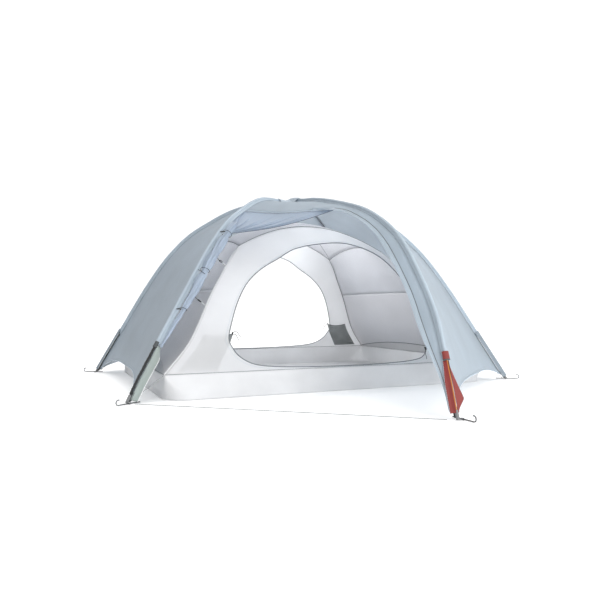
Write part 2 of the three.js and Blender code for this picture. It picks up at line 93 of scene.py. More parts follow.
def even(line, count):
    """The same line with count + 1 points at equal steps along it."""
    far = [0.0]
    for p, q in zip(line, line[1:]):
        far.append(far[-1] + (q - p).length)
    out, k = [], 0
    for i in range(count + 1):
        want = far[-1] * i / count
        while k < len(line) - 2 and far[k + 1] < want:
            k += 1
        step = far[k + 1] - far[k]
        out.append(line[k].lerp(line[k + 1], min(1, (want - far[k]) / step) if step else 0))
    return out


class Leg:
    def __init__(self, x, y, lift, bow=0.0):
        flat = Vector((x, y, 0))
        shape, half = (PORCH, REACH) if x == 0 else (MAIN, FOOT.length)
        self.out = flat.normalized()
        self.side = self.out.cross(UP)
        knots = [Vector((s * half, 0, z * TOP)) for s, z in shape]
        knots = [Vector((-p.x, 0, p.z)) for p in reversed(knots[1:])] + knots
        whole = even(curve_through(knots), 1200)
        self.line = whole[:599:-1]
        self.length = sum((q - p).length for p, q in zip(self.line, self.line[1:]))
        self.lift, self.bow = lift, bow

    def raw(self, w):
        k = min(max(w, 0), 1) * 600
        i = min(int(k), 599)
        return self.line[i].lerp(self.line[i + 1], k - i)

    def at(self, w):
        p = self.raw(w)
        aside = self.bow * math.sin(math.pi * min(1, max(0, (w - 0.05) / 0.85))) ** 1.3
        return self.out * p.x + UP * p.z - self.side * aside

    def normal(self, w):
        d = (self.raw(w + 0.002) - self.raw(w - 0.002)).normalized()
        return self.out * d.z - UP * d.x

    def pole(self, w):
        return self.at(w) + UP * self.lift * smooth(1 - (1 - w) * self.length / 0.26)

    def ridge(self, w):
        return self.at(w) - self.normal(w) * DROP

    def height(self, z):
        w = 0
        while self.at(w).z < z:
            w += 0.001
        return w


front_left = Leg(-FOOT.x, -FOOT.y, 0, BOW)
front = Leg(0, -REACH, 2 * STACK)
front_right = Leg(FOOT.x, -FOOT.y, STACK)
back_right = Leg(FOOT.x, FOOT.y, 0, BOW)
back = Leg(0, REACH, 2 * STACK)
back_left = Leg(-FOOT.x, FOOT.y, STACK)
LEGS = {"front_left": front_left, "front": front, "front_right": front_right,
        "back_right": back_right, "back": back, "back_left": back_left}
DOORWAYS = (("front", front_left, front), ("back", back_right, back))
CORNERS = (("front_left", -1, -1), ("front_right", 1, -1), ("back_right", 1, 1), ("back_left", -1, 1))
WALL_SIGNS = (("front", 1), ("back", -1))

# ---- cords: inner corners to the pole feet, and the base cord under each doorway ----
# Thin braided polyester line. A short one holds each upper corner of the tub out to its pole foot, and a
# longer one along the ground under each open door keeps the feet the right distance apart.
TUB_X, TUB_Y, TUB_H = 1.0355, 0.8016, 0.135
CUP_R = POLE_R + 0.0035
CORD = 0.003


def material(name, slot_colour, rough, metal=0.0):
    m = bpy.data.materials.new(name)
    m.use_nodes = True
    m.diffuse_color = (*slot_colour, 1)
    b = m.node_tree.nodes["Principled BSDF"]
    b.inputs["Base Color"].default_value = (*slot_colour, 1)
    b.inputs["Roughness"].default_value = rough
    b.inputs["Metallic"].default_value = metal
    return m, m.node_tree.nodes, m.node_tree.links, b


def pattern(n, l, kind, scale):
    """A texture laid over the object's own coordinates."""
    where = n.new("ShaderNodeTexCoord")
    texture = n.new(kind)
    texture.inputs["Scale"].default_value = scale
    l.new(where.outputs["Object"], texture.inputs["Vector"])
    return texture


def two_tones(n, l, b, share, dark, light):
    """Colour that runs between two tones as the share goes from 0 to 1."""
    ramp = n.new("ShaderNodeValToRGB")
    ramp.color_ramp.elements[0].color = (*dark, 1)
    ramp.color_ramp.elements[1].color = (*light, 1)
    l.new(share, ramp.inputs["Fac"])
    l.new(ramp.outputs["Color"], b.inputs["Base Color"])
    return ramp


def bumps(n, l, b, height, strength, distance):
    bump = n.new("ShaderNodeBump")
    bump.inputs["Strength"].default_value = strength
    bump.inputs["Distance"].default_value = distance
    l.new(height, bump.inputs["Height"])
    l.new(bump.outputs["Normal"], b.inputs["Normal"])
    return bump


def grained(name, colour, rough, kind, scale, strength, distance, tones=()):
    """A hard surface with a fine grain, in two tones if they are given."""
    m, n, l, b = material(name, colour, rough)
    grain = pattern(n, l, kind, scale)
    bumps(n, l, b, grain.outputs["Fac"], strength, distance)
    if tones:
        two_tones(n, l, b, grain.outputs["Fac"], *tones)
    return m


def braid(name, colour, pitch=0.0025):
    """Braided cord: crossing strands on Object coordinates, with painted shade in the grooves between them.
    """
    m, n, l, b = material(name, colour, 0.8)
    strands = pattern(n, l, "ShaderNodeTexWave", 0.3 / pitch)
    strands.bands_direction = "DIAGONAL"
    strands.inputs["Distortion"].default_value = 1.5
    two_tones(n, l, b, strands.outputs["Fac"], [c * 0.62 for c in colour], colour)
    bumps(n, l, b, strands.outputs["Fac"], 0.4, 0.0004)
    return m


def into_scene(obj):
    bpy.context.scene.collection.objects.link(obj)


def add_spline(data, points):
    spline = data.splines.new("POLY")
    spline.points.add(len(points) - 1)
    for k, p in enumerate(points):
        spline.points[k].co = (*p, 1)


def line_object(name, points, radius, mat, body="tent"):
    """A round cord or wire through points, as a curve with one open spline."""
    data = bpy.data.curves.new(name, "CURVE")
    data.dimensions, data.bevel_depth, data.bevel_resolution = "3D", radius, 3
    data.use_fill_caps = True
    add_spline(data, points)
    data.materials.append(mat)
    obj = bpy.data.objects.new(name, data)
    into_scene(obj)
    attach(obj, body)
    return obj


def cup_base(leg):
    """Where the pole's cup stands on the ground, and the direction that it points."""
    tip = leg.pole(0)
    way = (leg.pole(1 / 16) - tip).normalized()
    lift = CUP_R * math.hypot(way.x, way.y) + 0.0004
    return tip + way * (lift - tip.z) / way.z, way


cord_braid = braid("grey_braid", (0.30, 0.31, 0.32))
for name, leg in LEGS.items():
    if name in ("front", "back"):
        continue
    sx, sy = math.copysign(1, leg.out.x), math.copysign(1, leg.out.y)
    tub_end = Vector((sx * (TUB_X + 0.004), sy * (TUB_Y - 0.012), TUB_H - 0.006))
    cup_end = cup_base(leg)[0] - leg.out * 0.026
    cup_end.z = 0.01
    route = [tub_end.lerp(cup_end, k / 16) for k in range(17)]
    guy = line_object(f"corner_line_{name}", route, CORD / 2, cord_braid)
    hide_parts(f"corner_cord_{name}")
for name, corner_leg, porch_leg in DOORWAYS:
    from_corner, to_porch = corner_leg.at(0), porch_leg.at(0)
    from_corner.z = to_porch.z = 0.002
    way = (to_porch - from_corner).normalized()
    start, stop = from_corner + way * 0.044, to_porch - way * 0.044
    route = [start.lerp(stop, k / 24) for k in range(25)]
    base = line_object(f"base_line_{name}", route, 0.0014, cord_braid)
    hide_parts(f"base_cord_{name}")

# ---- fly: one continuous coated sheet over all six legs ----
# Silicone-coated ripstop, cut in panels and sewn along the legs, so it hangs taut with its edges hollowed
# between the feet. Two of the six bays stay open: there only a canopy is left above the door.
HEM_Z = 0.034
LIP_MAIN, LIP_PORCH = 0.69, 0.64
END_RISE, PORCH_RISE = 0.062, 0.044     # how far each hem arches up between its feet, as a share of the leg
CLOSED_BAYS = (("left", back_left, front_left, END_RISE), ("front", front, front_right, PORCH_RISE),
               ("right", front_right, back_right, END_RISE), ("back", back, back_left, PORCH_RISE))
for leg in LEGS.values():
    leg.hem = leg.height(HEM_Z)


def bay_point(a, b, u, f, deep=0.024):
    """Cloth between legs a and b: u across, f up from the hem corners to the crossing."""
    wa, wb = a.hem + (1 - a.hem) * f, b.hem + (1 - b.hem) * f
    inward = a.normal(wa).lerp(b.normal(wb), u).normalized()
    sag = deep * 4 * u * (1 - u) * max(0.0, 1 - f) ** 0.6
    return a.ridge(wa).lerp(b.ridge(wb), u) - inward * sag


def uneven(p, amount):
    """The slow unevenness that taut cloth keeps."""
    return amount * (0.65 * noise.noise(p * 3.1) + 0.35 * noise.noise(p * 8.7 + Vector((4, 1, 7))))


def strip_width(f):
    """Width of the strip with the door zip, beside the porch pole; it flares into the canopy's edge."""
    flare = max(0.0, (f - LIP_PORCH + 0.075) / 0.075)
    return 0.024 + 0.064 * smooth(f / 0.2) + 0.11 * flare**2.2


def grid_mesh(name, grids, mats, flips=()):
    """Grids of points joined into one skin, with a cloth map in metres. Returns the object and its area."""
    points, faces, maps = [], [], []
    for g, rows in enumerate(grids):
        start, across = len(points), len(rows[0])
        middle = rows[len(rows) // 2]
        wide = sum((q - p).length for p, q in zip(middle, middle[1:]))
        column = [row[across // 2] for row in rows]
        tall = sum((q - p).length for p, q in zip(column, column[1:]))
        for j, row in enumerate(rows):
            for i, p in enumerate(row):
                points.append(p)
                maps.append((wide * i / (across - 1) + g * 3, tall * j / (len(rows) - 1)))
        for j in range(len(rows) - 1):
            for i in range(across - 1):
                k = start + j * across + i
                quad = (k, k + 1, k + across + 1, k + across)
                faces.append(quad[::-1] if g in flips else quad)
    mesh = bpy.data.meshes.new(name)
    mesh.from_pydata(points, [], faces)
    layer = mesh.uv_layers.new(name="cloth")
    for loop in mesh.loops:
        layer.data[loop.index].uv = maps[loop.vertex_index]
    for m in mats if isinstance(mats, (list, tuple)) else [mats]:
        mesh.materials.append(m)
    tidy = bmesh.new()
    tidy.from_mesh(mesh)
    bmesh.ops.remove_doubles(tidy, verts=tidy.verts, dist=2e-4)
    bmesh.ops.dissolve_degenerate(tidy, edges=tidy.edges, dist=1e-6)
    for face in tidy.faces:
        face.smooth = True
    area = sum(face.calc_area() for face in tidy.faces)
    tidy.to_mesh(mesh)
    tidy.free()
    obj = bpy.data.objects.new(name, mesh)
    into_scene(obj)
    return obj, area


def flat_map(obj, across, up):
    """Lay the cloth map straight over two axes, where the grid's own lines don't follow the weave."""
    layer = obj.data.uv_layers["cloth"].data
    for loop in obj.data.loops:
        p = obj.data.vertices[loop.vertex_index].co
        layer[loop.index].uv = (p.dot(across), p.dot(up))


def as_cloth(obj, stands_for=(), thick=0.0008, body="tent"):
    """Thickness and body of a cloth piece, its offset face in its last material, and the parts that it stands
    for hidden.
    """
    skin = obj.modifiers.new("cloth thickness", "SOLIDIFY")
    skin.thickness, skin.offset, skin.use_even_offset = thick, 0, False
    skin.material_offset = len(obj.data.materials) - 1
    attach(obj, body)
    if stands_for:
        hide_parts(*stands_for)


def woven(name, colour, rough, through, mottle=0.06, rib=0.0055, rib_depth=0.25, sheen=0.15, shade=None):
    """Fine ripstop: square ribs on the cloth map, a soft mottle, some light let through the weave."""
    m, n, l, b = material(name, colour, rough)
    chart = n.new("ShaderNodeUVMap")
    chart.uv_map = "cloth"
    heights = []
    for axis in ("X", "Y"):
        band = n.new("ShaderNodeTexWave")
        band.bands_direction = axis
        band.inputs["Scale"].default_value = 0.314 / rib
        band.inputs["Distortion"].default_value = 0.0
        l.new(chart.outputs["UV"], band.inputs["Vector"])
        sharp = n.new("ShaderNodeMath")
        sharp.operation = "POWER"
        sharp.inputs[1].default_value = 9
        l.new(band.outputs["Fac"], sharp.inputs[0])
        heights.append(sharp)
    both = n.new("ShaderNodeMath")
    both.operation = "MAXIMUM"
    l.new(heights[0].outputs[0], both.inputs[0])
    l.new(heights[1].outputs[0], both.inputs[1])
    cloud = pattern(n, l, "ShaderNodeTexNoise", 3.0)
    cloud.inputs["Detail"].default_value = 6
    cloud.inputs["Roughness"].default_value = 0.6
    darker, lighter = [c * (1 - mottle) for c in colour], [min(1, c * (1 + mottle)) for c in colour]
    ramp = two_tones(n, l, b, cloud.outputs["Fac"], darker, lighter)
    ramp.color_ramp.elements[0].position, ramp.color_ramp.elements[1].position = 0.3, 0.7
    threads = n.new("ShaderNodeMix")
    threads.data_type, threads.blend_type = "RGBA", "MULTIPLY"
    threads.inputs[7].default_value = (*[shade or 0.86] * 3, 1)
    l.new(both.outputs[0], threads.inputs[0])
    l.new(ramp.outputs["Color"], threads.inputs[6])
    l.new(threads.outputs[2], b.inputs["Base Color"])
    bump = bumps(n, l, b, both.outputs[0], rib_depth, 0.0003)
    b.inputs["Sheen Weight"].default_value = sheen
    b.inputs["Sheen Roughness"].default_value = 0.4
    if through:
        glow = n.new("ShaderNodeBsdfTranslucent")
        l.new(threads.outputs[2], glow.inputs["Color"])
        l.new(bump.outputs["Normal"], glow.inputs["Normal"])
        blend = n.new("ShaderNodeMixShader")
        blend.inputs[0].default_value = through
        l.new(b.outputs["BSDF"], blend.inputs[1])
        l.new(glow.outputs["BSDF"], blend.inputs[2])
        l.new(blend.outputs[0], n["Material Output"].inputs["Surface"])
    return m


fly_cloth = woven("fly_ripstop", (0.455, 0.525, 0.585), 0.5, 0.5, rib_depth=0.15, shade=0.95)
fly_lining = woven("fly_coated_inside", (0.88, 0.895, 0.91), 0.6, 0.72, rib_depth=0.15, shade=0.97)
ROWS, STRIP, CANOPY = 72, 8, 24     # steps up a closed bay, across a strip and across the rest of a canopy


def hem_arc(u):
    return 1 - (2 * u - 1) ** 4


def closed_bay(a, b, rise, deep=0.024, cols=30):
    rows = []
    for j in range(ROWS + 1):
        row = []
        for i in range(cols + 1):
            u = i / cols
            low = rise * hem_arc(u)
            f = low + (1 - low) * j / ROWS
            p = bay_point(a, b, u, f, deep)
            edge = 4 * u * (1 - u) * (1 - f)
            row.append(p + (a.normal(f) + b.normal(f)) * 0.5 * uneven(p, 0.010 * edge))
        rows.append(row)
    return rows


def strip_point(main, porch, k, f):
    """k from 0 on the porch pole's line to 1 on the free edge of the strip."""
    p, q = porch.ridge(porch.hem + (1 - porch.hem) * f), main.ridge(main.hem + (1 - main.hem) * f)
    width = min(strip_width(f), 0.45 * (q - p).length)
    curl = 0.006 * math.sin(math.pi * k) + 0.004 * math.sin(f * 31) * k * k
    return p + (q - p).normalized() * width * k + porch.normal(f) * curl


def canopy_point(main, porch, u, t):
    """u from the main pole to the porch pole, t from the lip to the crossing."""
    lip = LIP_MAIN + (LIP_PORCH - LIP_MAIN) * smooth(u * 1.25)
    f = lip + (1 - lip) * t
    p = bay_point(main, porch, u, f, 0.004)
    belly = 4 * u * (1 - u) * (1 - t)
    return p - (main.normal(f) + porch.normal(f)) * 0.5 * (0.010 * belly + uneven(p, 0.012 * belly))


def open_bay(main, porch):
    """The strip beside the porch pole, and the canopy that carries on from it above the lip."""
    strip = []
    rows = 64
    for j in range(rows + 1):
        f = LIP_PORCH * j / rows
        strip.append([strip_point(main, porch, k / STRIP, f) for k in range(STRIP + 1)])
    top = strip[-1]
    wa = main.hem + (1 - main.hem) * LIP_PORCH
    wb = porch.hem + (1 - porch.hem) * LIP_PORCH
    span = (main.ridge(wa) - porch.ridge(wb)).length
    u_strip = 1 - (top[-1] - top[0]).length / span
    shares = [u_strip * i / CANOPY for i in range(CANOPY)]
    shares += [1 - (1 - u_strip) * k / STRIP for k in range(STRIP, -1, -1)]
    canopy = []
    for j in range(21):
        t = j / 20
        row = []
        for i, u in enumerate(shares):
            p = canopy_point(main, porch, u, t)
            if i >= CANOPY:
                seam = top[len(shares) - 1 - i]
                p = p + (seam - canopy_point(main, porch, u, 0)) * max(0, 1 - t * 4)
            row.append(p)
        canopy.append(row)
    return strip, canopy


bays = [closed_bay(a, b, rise) for name, a, b, rise in CLOSED_BAYS]
for name, main, porch in DOORWAYS:
    strip, canopy = open_bay(main, porch)
    bays += [[row[::-1] for row in strip], canopy]
fly, fly_area = grid_mesh("fly", bays, [fly_cloth, fly_lining])
as_cloth(fly,
         ("fly_end_left", "fly_end_right", "fly_vestibule_front", "fly_vestibule_back", "fly_canopy_front",
          "fly_canopy_back"))

# ---- pole sleeves ----
# A folded band of the fly's cloth runs over each leg from its hood to the crossing. It is sewn down on
# both sides, so it stands up as a tube between two flat stitched flanges.
HOOD_Z, POCKET_Z = 0.285, 0.262
# The sleeve cloth is the fly's cloth painted about a tenth lighter: a painted highlight for the light that
# the raised tubes catch.
band_cloth_painted_light = woven("sleeve_ripstop_painted_light", (0.50, 0.585, 0.66), 0.5, 0.25, rib_depth=0.25, shade=0.93)
seam_lines = []


def toward(leg, other, w):
    """Along the fly's cloth, from a leg to a neighbour, at the leg's share w."""
    f = (w - leg.hem) / (1 - leg.hem)
    return (other.ridge(other.hem + (1 - other.hem) * f) - leg.ridge(w)).normalized()


def sleeve(name, leg, low_z, node):
    place = list(LEGS.values()).index(leg)
    before, after = (list(LEGS.values())[(place + step) % 6] for step in (-1, 1))
    start, stop = leg.height(low_z), 1 - 0.045 / leg.length
    rows, sewn = [], ([], [])
    for j in range(121):
        w = start + (stop - start) * j / 120
        side, up, pole = leg.side, leg.normal(w), leg.pole(w)
        swell = 0.0092 + uneven(pole * 4, 0.0012)
        one, two = toward(leg, after, min(w, 0.93)), toward(leg, before, min(w, 0.93))
        seat = leg.ridge(w) + up * 0.0014
        row = [seat + one * 0.021, seat + one * 0.0125]
        for k in range(13):
            turn = math.radians(205 - 230 * k / 12)
            row.append(pole + (side * math.cos(turn) + up * math.sin(turn)) * swell)
        row += [seat + two * 0.0125, seat + two * 0.021]
        rows.append(row)
        sewn[0].append(seat + one * 0.0175 + up * 0.0006)
        sewn[1].append(seat + two * 0.0175 + up * 0.0006)
    band, area = grid_mesh(name, [rows], band_cloth_painted_light)
    as_cloth(band, (node,), thick=0.0007)
    seam_lines.extend(sewn)


for name, leg in LEGS.items():
    porch = name in ("front", "back")
    sleeve(f"sleeve_{name}", leg, POCKET_Z + 0.012 if porch else HOOD_Z,
           f"sleeve_vestibule_{name}" if porch else f"sleeve_main_{name}")

# ---- crown patch over the crossing ----
# A round patch of fly cloth is stretched over the three crossing poles and sewn down to the sleeves.
CROWN_R = 0.150
crown_rows = []
for j in range(21):
    r = CROWN_R * j / 20
    crown_rows.append([])
    for i in range(97):
        turn = 2 * math.pi * (i % 96) / 96
        ray = Vector((math.cos(turn), math.sin(turn), 0))
        cloth_z = TOP - DROP - 0.014 * (r / CROWN_R) ** 2
        over_z = max(cloth_z + 0.003, TOP + 2 * STACK + POLE_R + 0.0035 - 0.050 * smooth(r / CROWN_R) ** 0.9)
        for leg in LEGS.values():
            if leg.out.dot(ray) > 0:
                apart = abs(leg.side.dot(ray)) * r
                top = leg.pole(1 - r / leg.length).z + 0.0135
                ridge_z = cloth_z + 0.003 + (top - cloth_z - 0.003) * math.exp(-(apart / 0.027) ** 2)
                over_z = max(over_z, ridge_z)
        crown_rows[-1].append(Vector((ray.x * r, ray.y * r, over_z)))
# The patch takes the sleeves' cloth, painted lighter than the fly: a painted highlight.
crown, crown_area = grid_mesh("crown", [crown_rows], band_cloth_painted_light)
as_cloth(crown, ("crown_patch",), thick=0.0008)
seam_lines.append([p + UP * 0.0006 for p in crown_rows[18]])

# ---- hoods, black lower sleeves and corner flaps ----
# The fly's sleeve ends in a dark hood. Below it the pole stands in a slim black sleeve down to its cup.
# A pale triangular gusset braces the open door's side, and a flap of fly cloth covers the closed side.
hood_cloth = woven("hood_webbing", (0.075, 0.085, 0.09), 0.7, 0, rib=0.0022, rib_depth=0.7, mottle=0.2)
low_cloth = woven("low_sleeve_web", (0.012, 0.014, 0.016), 0.6, 0, rib=0.0016, rib_depth=0.8, mottle=0.25)
gusset_cloth = woven("gusset_cloth", (0.48, 0.55, 0.53), 0.55, 0.25)
edge_tape = woven("edge_tape", (0.82, 0.83, 0.84), 0.6, 0.1, rib=0.002, rib_depth=0.5)


def rings(path, side, radius, sides=20):
    """Rings round a path, from a function of the share of the way and the turn."""
    rows = []
    for k, p in enumerate(path):
        way = (path[min(k + 1, len(path) - 1)] - path[max(k - 1, 0)]).normalized()
        e1 = (side - way * side.dot(way)).normalized()
        e2 = way.cross(e1)
        turns = [2 * math.pi * (s % sides) / sides for s in range(sides + 1)]
        share = k / (len(path) - 1)
        rows.append([p + (e1 * math.cos(a) + e2 * math.sin(a)) * radius(share, a) for a in turns])
    middles = [sum(row[:-1], Vector()) / sides for row in (rows[0], rows[-1])]
    return [[middles[0]] * (sides + 1)] + rows + [[middles[1]] * (sides + 1)]


def solid_piece(name, grids, mat, stands_for=(), body="tent"):
    obj = grid_mesh(name, grids, mat)[0]
    fix = bmesh.new()
    fix.from_mesh(obj.data)
    bmesh.ops.recalc_face_normals(fix, faces=fix.faces)
    fix.to_mesh(obj.data)
    fix.free()
    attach(obj, body)
    if stands_for:
        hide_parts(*stands_for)


def slim_web(t, turn):
    """Radius of the black sleeve, which lies a little unevenly on its pole."""
    crumple = 0.0005 * math.sin(t * 70 + 2 * math.sin(turn))
    return 0.0072 + crumple + 0.0007 * math.cos(turn) * math.sin(t * 23)


def hood_web(t, turn):
    return 0.0108 + 0.0022 * abs(math.cos(turn)) ** 3 - 0.0012 * t


# The corner flap's section round the pole, as offsets to the side and out, from the fly to its free edge.
FLAP = ((0.034, -DROP - 0.001), (0.019, -0.010), (0.0135, -0.004), (0.0125, 0.004), (0.0095, 0.0106),
        (0.003, 0.0145), (-0.004, 0.0145), (-0.0095, 0.0110), (-0.0125, 0.004), (-0.0125, -0.003))
for name, leg in LEGS.items():
    if name in ("front", "back"):
        continue
    low = leg.height(HOOD_Z)
    bottom = 0.048 / leg.length
    path = [leg.pole(bottom + (low - 0.003 - bottom) * k / 48) for k in range(49)]
    solid_piece(f"black_sleeve_{name}", [rings(path, leg.side, slim_web)], low_cloth,
                (f"low_sleeve_{name}",))
    path = [leg.pole(low - 0.008 + 0.016 * k / 10) for k in range(11)]
    solid_piece(f"hood_{name}", [rings(path, leg.side, hood_web)], hood_cloth)
    door_side = name in ("front_left", "back_right")
    rows = []
    for j in range(41):
        t = j / 40
        w = (low if door_side else low + 0.016) * (1 - t) + 0.020 / leg.length * t
        at, side, up = leg.at(w), leg.side, leg.normal(w)
        if door_side:
            wide = 0.012 + 0.040 * smooth(t / 0.28) - 0.014 * t
            row = []
            for k in range(9):
                s = k / 8
                deep = 0.009 + 0.016 * s + 0.004 * math.sin(math.pi * s)
                row.append(at - side * (0.004 + wide * s) - up * deep)
        else:
            row = [at + side * across + up * out for across, out in FLAP]
        rows.append(row)
    if door_side:
        gusset, area = grid_mesh(f"gusset_{name}", [rows], gusset_cloth)
        as_cloth(gusset)
        trim = [row[-1] for row in rows[8:]]
        line_object(f"gusset_edge_{name}", trim, 0.0016, edge_tape)
    else:
        flap, area = grid_mesh(f"corner_flap_{name}", [rows], fly_cloth)
        as_cloth(flap)
        trim = []
        for j in range(37):
            w = 0.03 / leg.length + (low - 0.03 / leg.length) * j / 36
            trim.append(leg.at(w) - leg.side * 0.0126 - leg.normal(w) * 0.004)
        line_object(f"pole_edge_{name}", trim, 0.0015, edge_tape)

# ---- rolled fly doors ----
# The door of each open bay is drawn to the main pole and tied there in a loose bunch. Its upper part hangs
# from the canopy's lip in folds that all run to the upper tie.
door_cloth = woven("door_ripstop", (0.43, 0.51, 0.62), 0.5, 0.25)
TIE_LOW, TIE_MID, TIE_HIGH = 0.27, 0.40, 0.545
BUNCH_LOW, BUNCH_HIGH = 0.16, 0.60


def bunch_at(leg, w):
    swell = smooth((w - 0.15) / 0.2)
    return leg.at(w) - leg.side * (0.028 + 0.016 * swell) - leg.normal(w) * (0.014 + 0.010 * swell)


def folds(t, turn):
    """Radius of the bunched door, drawn in at its three ties and pleated between them."""
    w = BUNCH_LOW + (BUNCH_HIGH - BUNCH_LOW) * t
    full = 0.007 + 0.019 * smooth(t / 0.55) * (1 - 0.25 * smooth((t - 0.8) / 0.2))
    tied = 1 - 0.34 * sum(math.exp(-((w - tie) / 0.012) ** 2) for tie in (TIE_LOW, TIE_MID, TIE_HIGH))
    pleats = 1 + 0.16 * math.sin(5 * turn + 2.2 * math.sin(t * 9)) + 0.11 * math.sin(9 * turn - 16 * t)
    pleats += 0.10 * math.sin(t * 38 + 3 * math.sin(turn))
    return full * tied * pleats * (0.78 + 0.22 * math.cos(turn) ** 2)


for name, main, porch in DOORWAYS:
    path = [bunch_at(main, BUNCH_LOW + (BUNCH_HIGH - BUNCH_LOW) * k / 110) for k in range(111)]
    solid_piece(f"door_bunch_{name}", [rings(path, main.side, folds, 44)], door_cloth,
                (f"fly_door_roll_{name}",))
    tie = bunch_at(main, TIE_HIGH + 0.012) - main.side * 0.012
    rim = []
    for k in range(9):
        w = BUNCH_HIGH + (main.hem + (1 - main.hem) * LIP_MAIN - BUNCH_HIGH) * k / 8
        rim.append(main.ridge(w) + toward(main, porch, w) * 0.010 - main.normal(w) * 0.003)
    for k in range(1, 41):
        lip = canopy_point(main, porch, 0.03 + 0.89 * k / 40, 0)
        rim.append(lip - (main.normal(LIP_MAIN) + porch.normal(LIP_PORCH)) * 0.002 - UP * 0.002)
    rim = even(rim, 100)
    rows = []
    for j in range(41):
        r = j / 40
        row = []
        for i, lip in enumerate(rim):
            a = i / 100
            start = tie + (lip - tie).normalized() * 0.016
            start += main.side * 0.014 * (a - 0.5) + UP * 0.012 * (0.5 - a)
            p = start.lerp(lip, r)
            out = (lip - tie).cross(UP).normalized()
            depth = 0.015 * math.sin(math.pi * min(1, r * 1.02)) ** 0.7 * (1 - 0.45 * r) * smooth(a / 0.06)
            wave = math.sin(2 * math.pi * (6.5 * a + 0.35 * math.sin(5 * a)))
            wave += 0.45 * math.sin(2 * math.pi * 15.3 * a + 1)
            p += out * depth * wave * (0.5 + 0.5 * (1 - a))
            p -= UP * 0.026 * math.sin(math.pi * r) * a**1.5
            row.append(p)
        rows.append(row)
    drape, area = grid_mesh(f"door_drape_{name}", [rows], door_cloth)
    as_cloth(drape)
    # The line along the drape's lower edge is a darker copy of the door cloth: painted shade under the drape.
    hem_line = [row[-1] for row in rows]
    dark = woven(f"door_hem_shade_{name}", (0.16, 0.19, 0.24), 0.6, 0, rib=0.002)
    line_object(f"door_hem_{name}", hem_line, 0.0022, dark)

# ---- toggles and their loops ----
# A black moulded bar pushed through a shock-cord loop holds each bunch. The loop is sewn to the sleeve.
toggle_black = grained("toggle_black", (0.012, 0.012, 0.013), 0.38, "ShaderNodeTexNoise", 900, 0.15, 0.0002)
shock_cord = braid("shock_cord", (0.03, 0.03, 0.035), 0.0016)


def paint_node(node, mat):
    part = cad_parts[node]
    part.data.materials.clear()
    part.data.materials.append(mat)


for name, main, porch in DOORWAYS:
    for level in ("low", "high"):
        paint_node(f"toggle_{level}_{name}", toggle_black)
    for level, w, r in (("low", TIE_LOW, 0.014), ("mid", TIE_MID, 0.019), ("high", TIE_HIGH, 0.023)):
        centre, up = bunch_at(main, w + 0.006), main.normal(w)
        loop = []
        for k in range(33):
            turn = math.radians(70 + 330 * k / 32)
            across, over = math.cos(turn) * (r + 0.010), math.sin(turn) * (r + 0.004) + 0.004
            loop.append(centre + main.side * across + up * over)
        line_object(f"toggle_loop_{level}_{name}", loop, 0.0013, shock_cord)
    up = main.normal(TIE_MID)
    tail = [bunch_at(main, TIE_MID) + main.side * 0.03 + up * 0.022]
    for k in range(1, 13):
        tail.append(tail[0] - main.side * 0.0045 * k - UP * 0.0022 * k**1.2 * 0.6 + up * 0.004)
    line_object(f"toggle_tail_{name}", tail, 0.0014, shock_cord)

# ---- poles, cups and pegs ----
# Anodised aluminium tube in short sections with brighter ferrules. The porch pole is orange, the two main
# ones dark. Cups are moulded, pegs are bent from wire; webbing ties each cup to the fly's corner.
def anodised(name, colour, bright):
    m, n, l, b = material(name, colour, 0.32, 0.9)
    where = n.new("ShaderNodeTexCoord")
    turn = n.new("ShaderNodeVectorMath")
    turn.operation = "LENGTH"
    l.new(where.outputs["Object"], turn.inputs[0])
    sections = n.new("ShaderNodeMath")
    sections.operation = "FRACT"
    spread = n.new("ShaderNodeMath")
    spread.operation = "MULTIPLY"
    spread.inputs[1].default_value = 2.6
    l.new(turn.outputs["Value"], spread.inputs[0])
    l.new(spread.outputs[0], sections.inputs[0])
    ramp = two_tones(n, l, b, sections.outputs[0], colour, bright)
    ramp.color_ramp.interpolation = "CONSTANT"
    ramp.color_ramp.elements[1].position = 0.93
    streak = pattern(n, l, "ShaderNodeTexNoise", 240)
    rough = n.new("ShaderNodeMapRange")
    rough.inputs["To Min"].default_value, rough.inputs["To Max"].default_value = 0.24, 0.42
    l.new(streak.outputs["Fac"], rough.inputs["Value"])
    l.new(rough.outputs[0], b.inputs["Roughness"])
    return m


dark_pole = anodised("dark_anodised", (0.03, 0.033, 0.038), (0.09, 0.095, 0.1))
orange_pole = anodised("orange_anodised", (0.62, 0.25, 0.07), (0.75, 0.42, 0.2))
peg_metal = anodised("peg_aluminium", (0.10, 0.105, 0.11), (0.2, 0.21, 0.22))
grey_plastic = grained("cup_plastic", (0.16, 0.165, 0.17), 0.5, "ShaderNodeTexNoise", 700, 0.2, 0.0003,
                       ((0.13, 0.135, 0.14), (0.2, 0.205, 0.21)))
paint_node("pole_main_1", dark_pole)
paint_node("pole_main_2", dark_pole)
paint_node("pole_vestibule", orange_pole)
strap_web = woven("strap_webbing", (0.05, 0.055, 0.06), 0.65, 0, rib=0.0018, rib_depth=0.8, mottle=0.2)
for name, leg in LEGS.items():
    paint_node(f"foot_{name}", grey_plastic)
    paint_node(f"peg_{name}", peg_metal)
    base, way = cup_base(leg)
    # Flat webbing from the fly's corner down the inside of the cup to its eye.
    inner_side = (way.cross(leg.side)).normalized()
    if inner_side.dot(leg.out) > 0:
        inner_side = -inner_side
    rows = []
    for j in range(15):
        t = j / 14
        p = base + way * (0.010 + 0.052 * t) + inner_side * (0.0105 + 0.002 * math.sin(math.pi * t))
        rows.append([p + leg.side * s for s in (-0.009, -0.003, 0.003, 0.009)])
    web, area = grid_mesh(f"corner_webbing_{name}", [rows], strap_web)
    as_cloth(web, thick=0.0012)

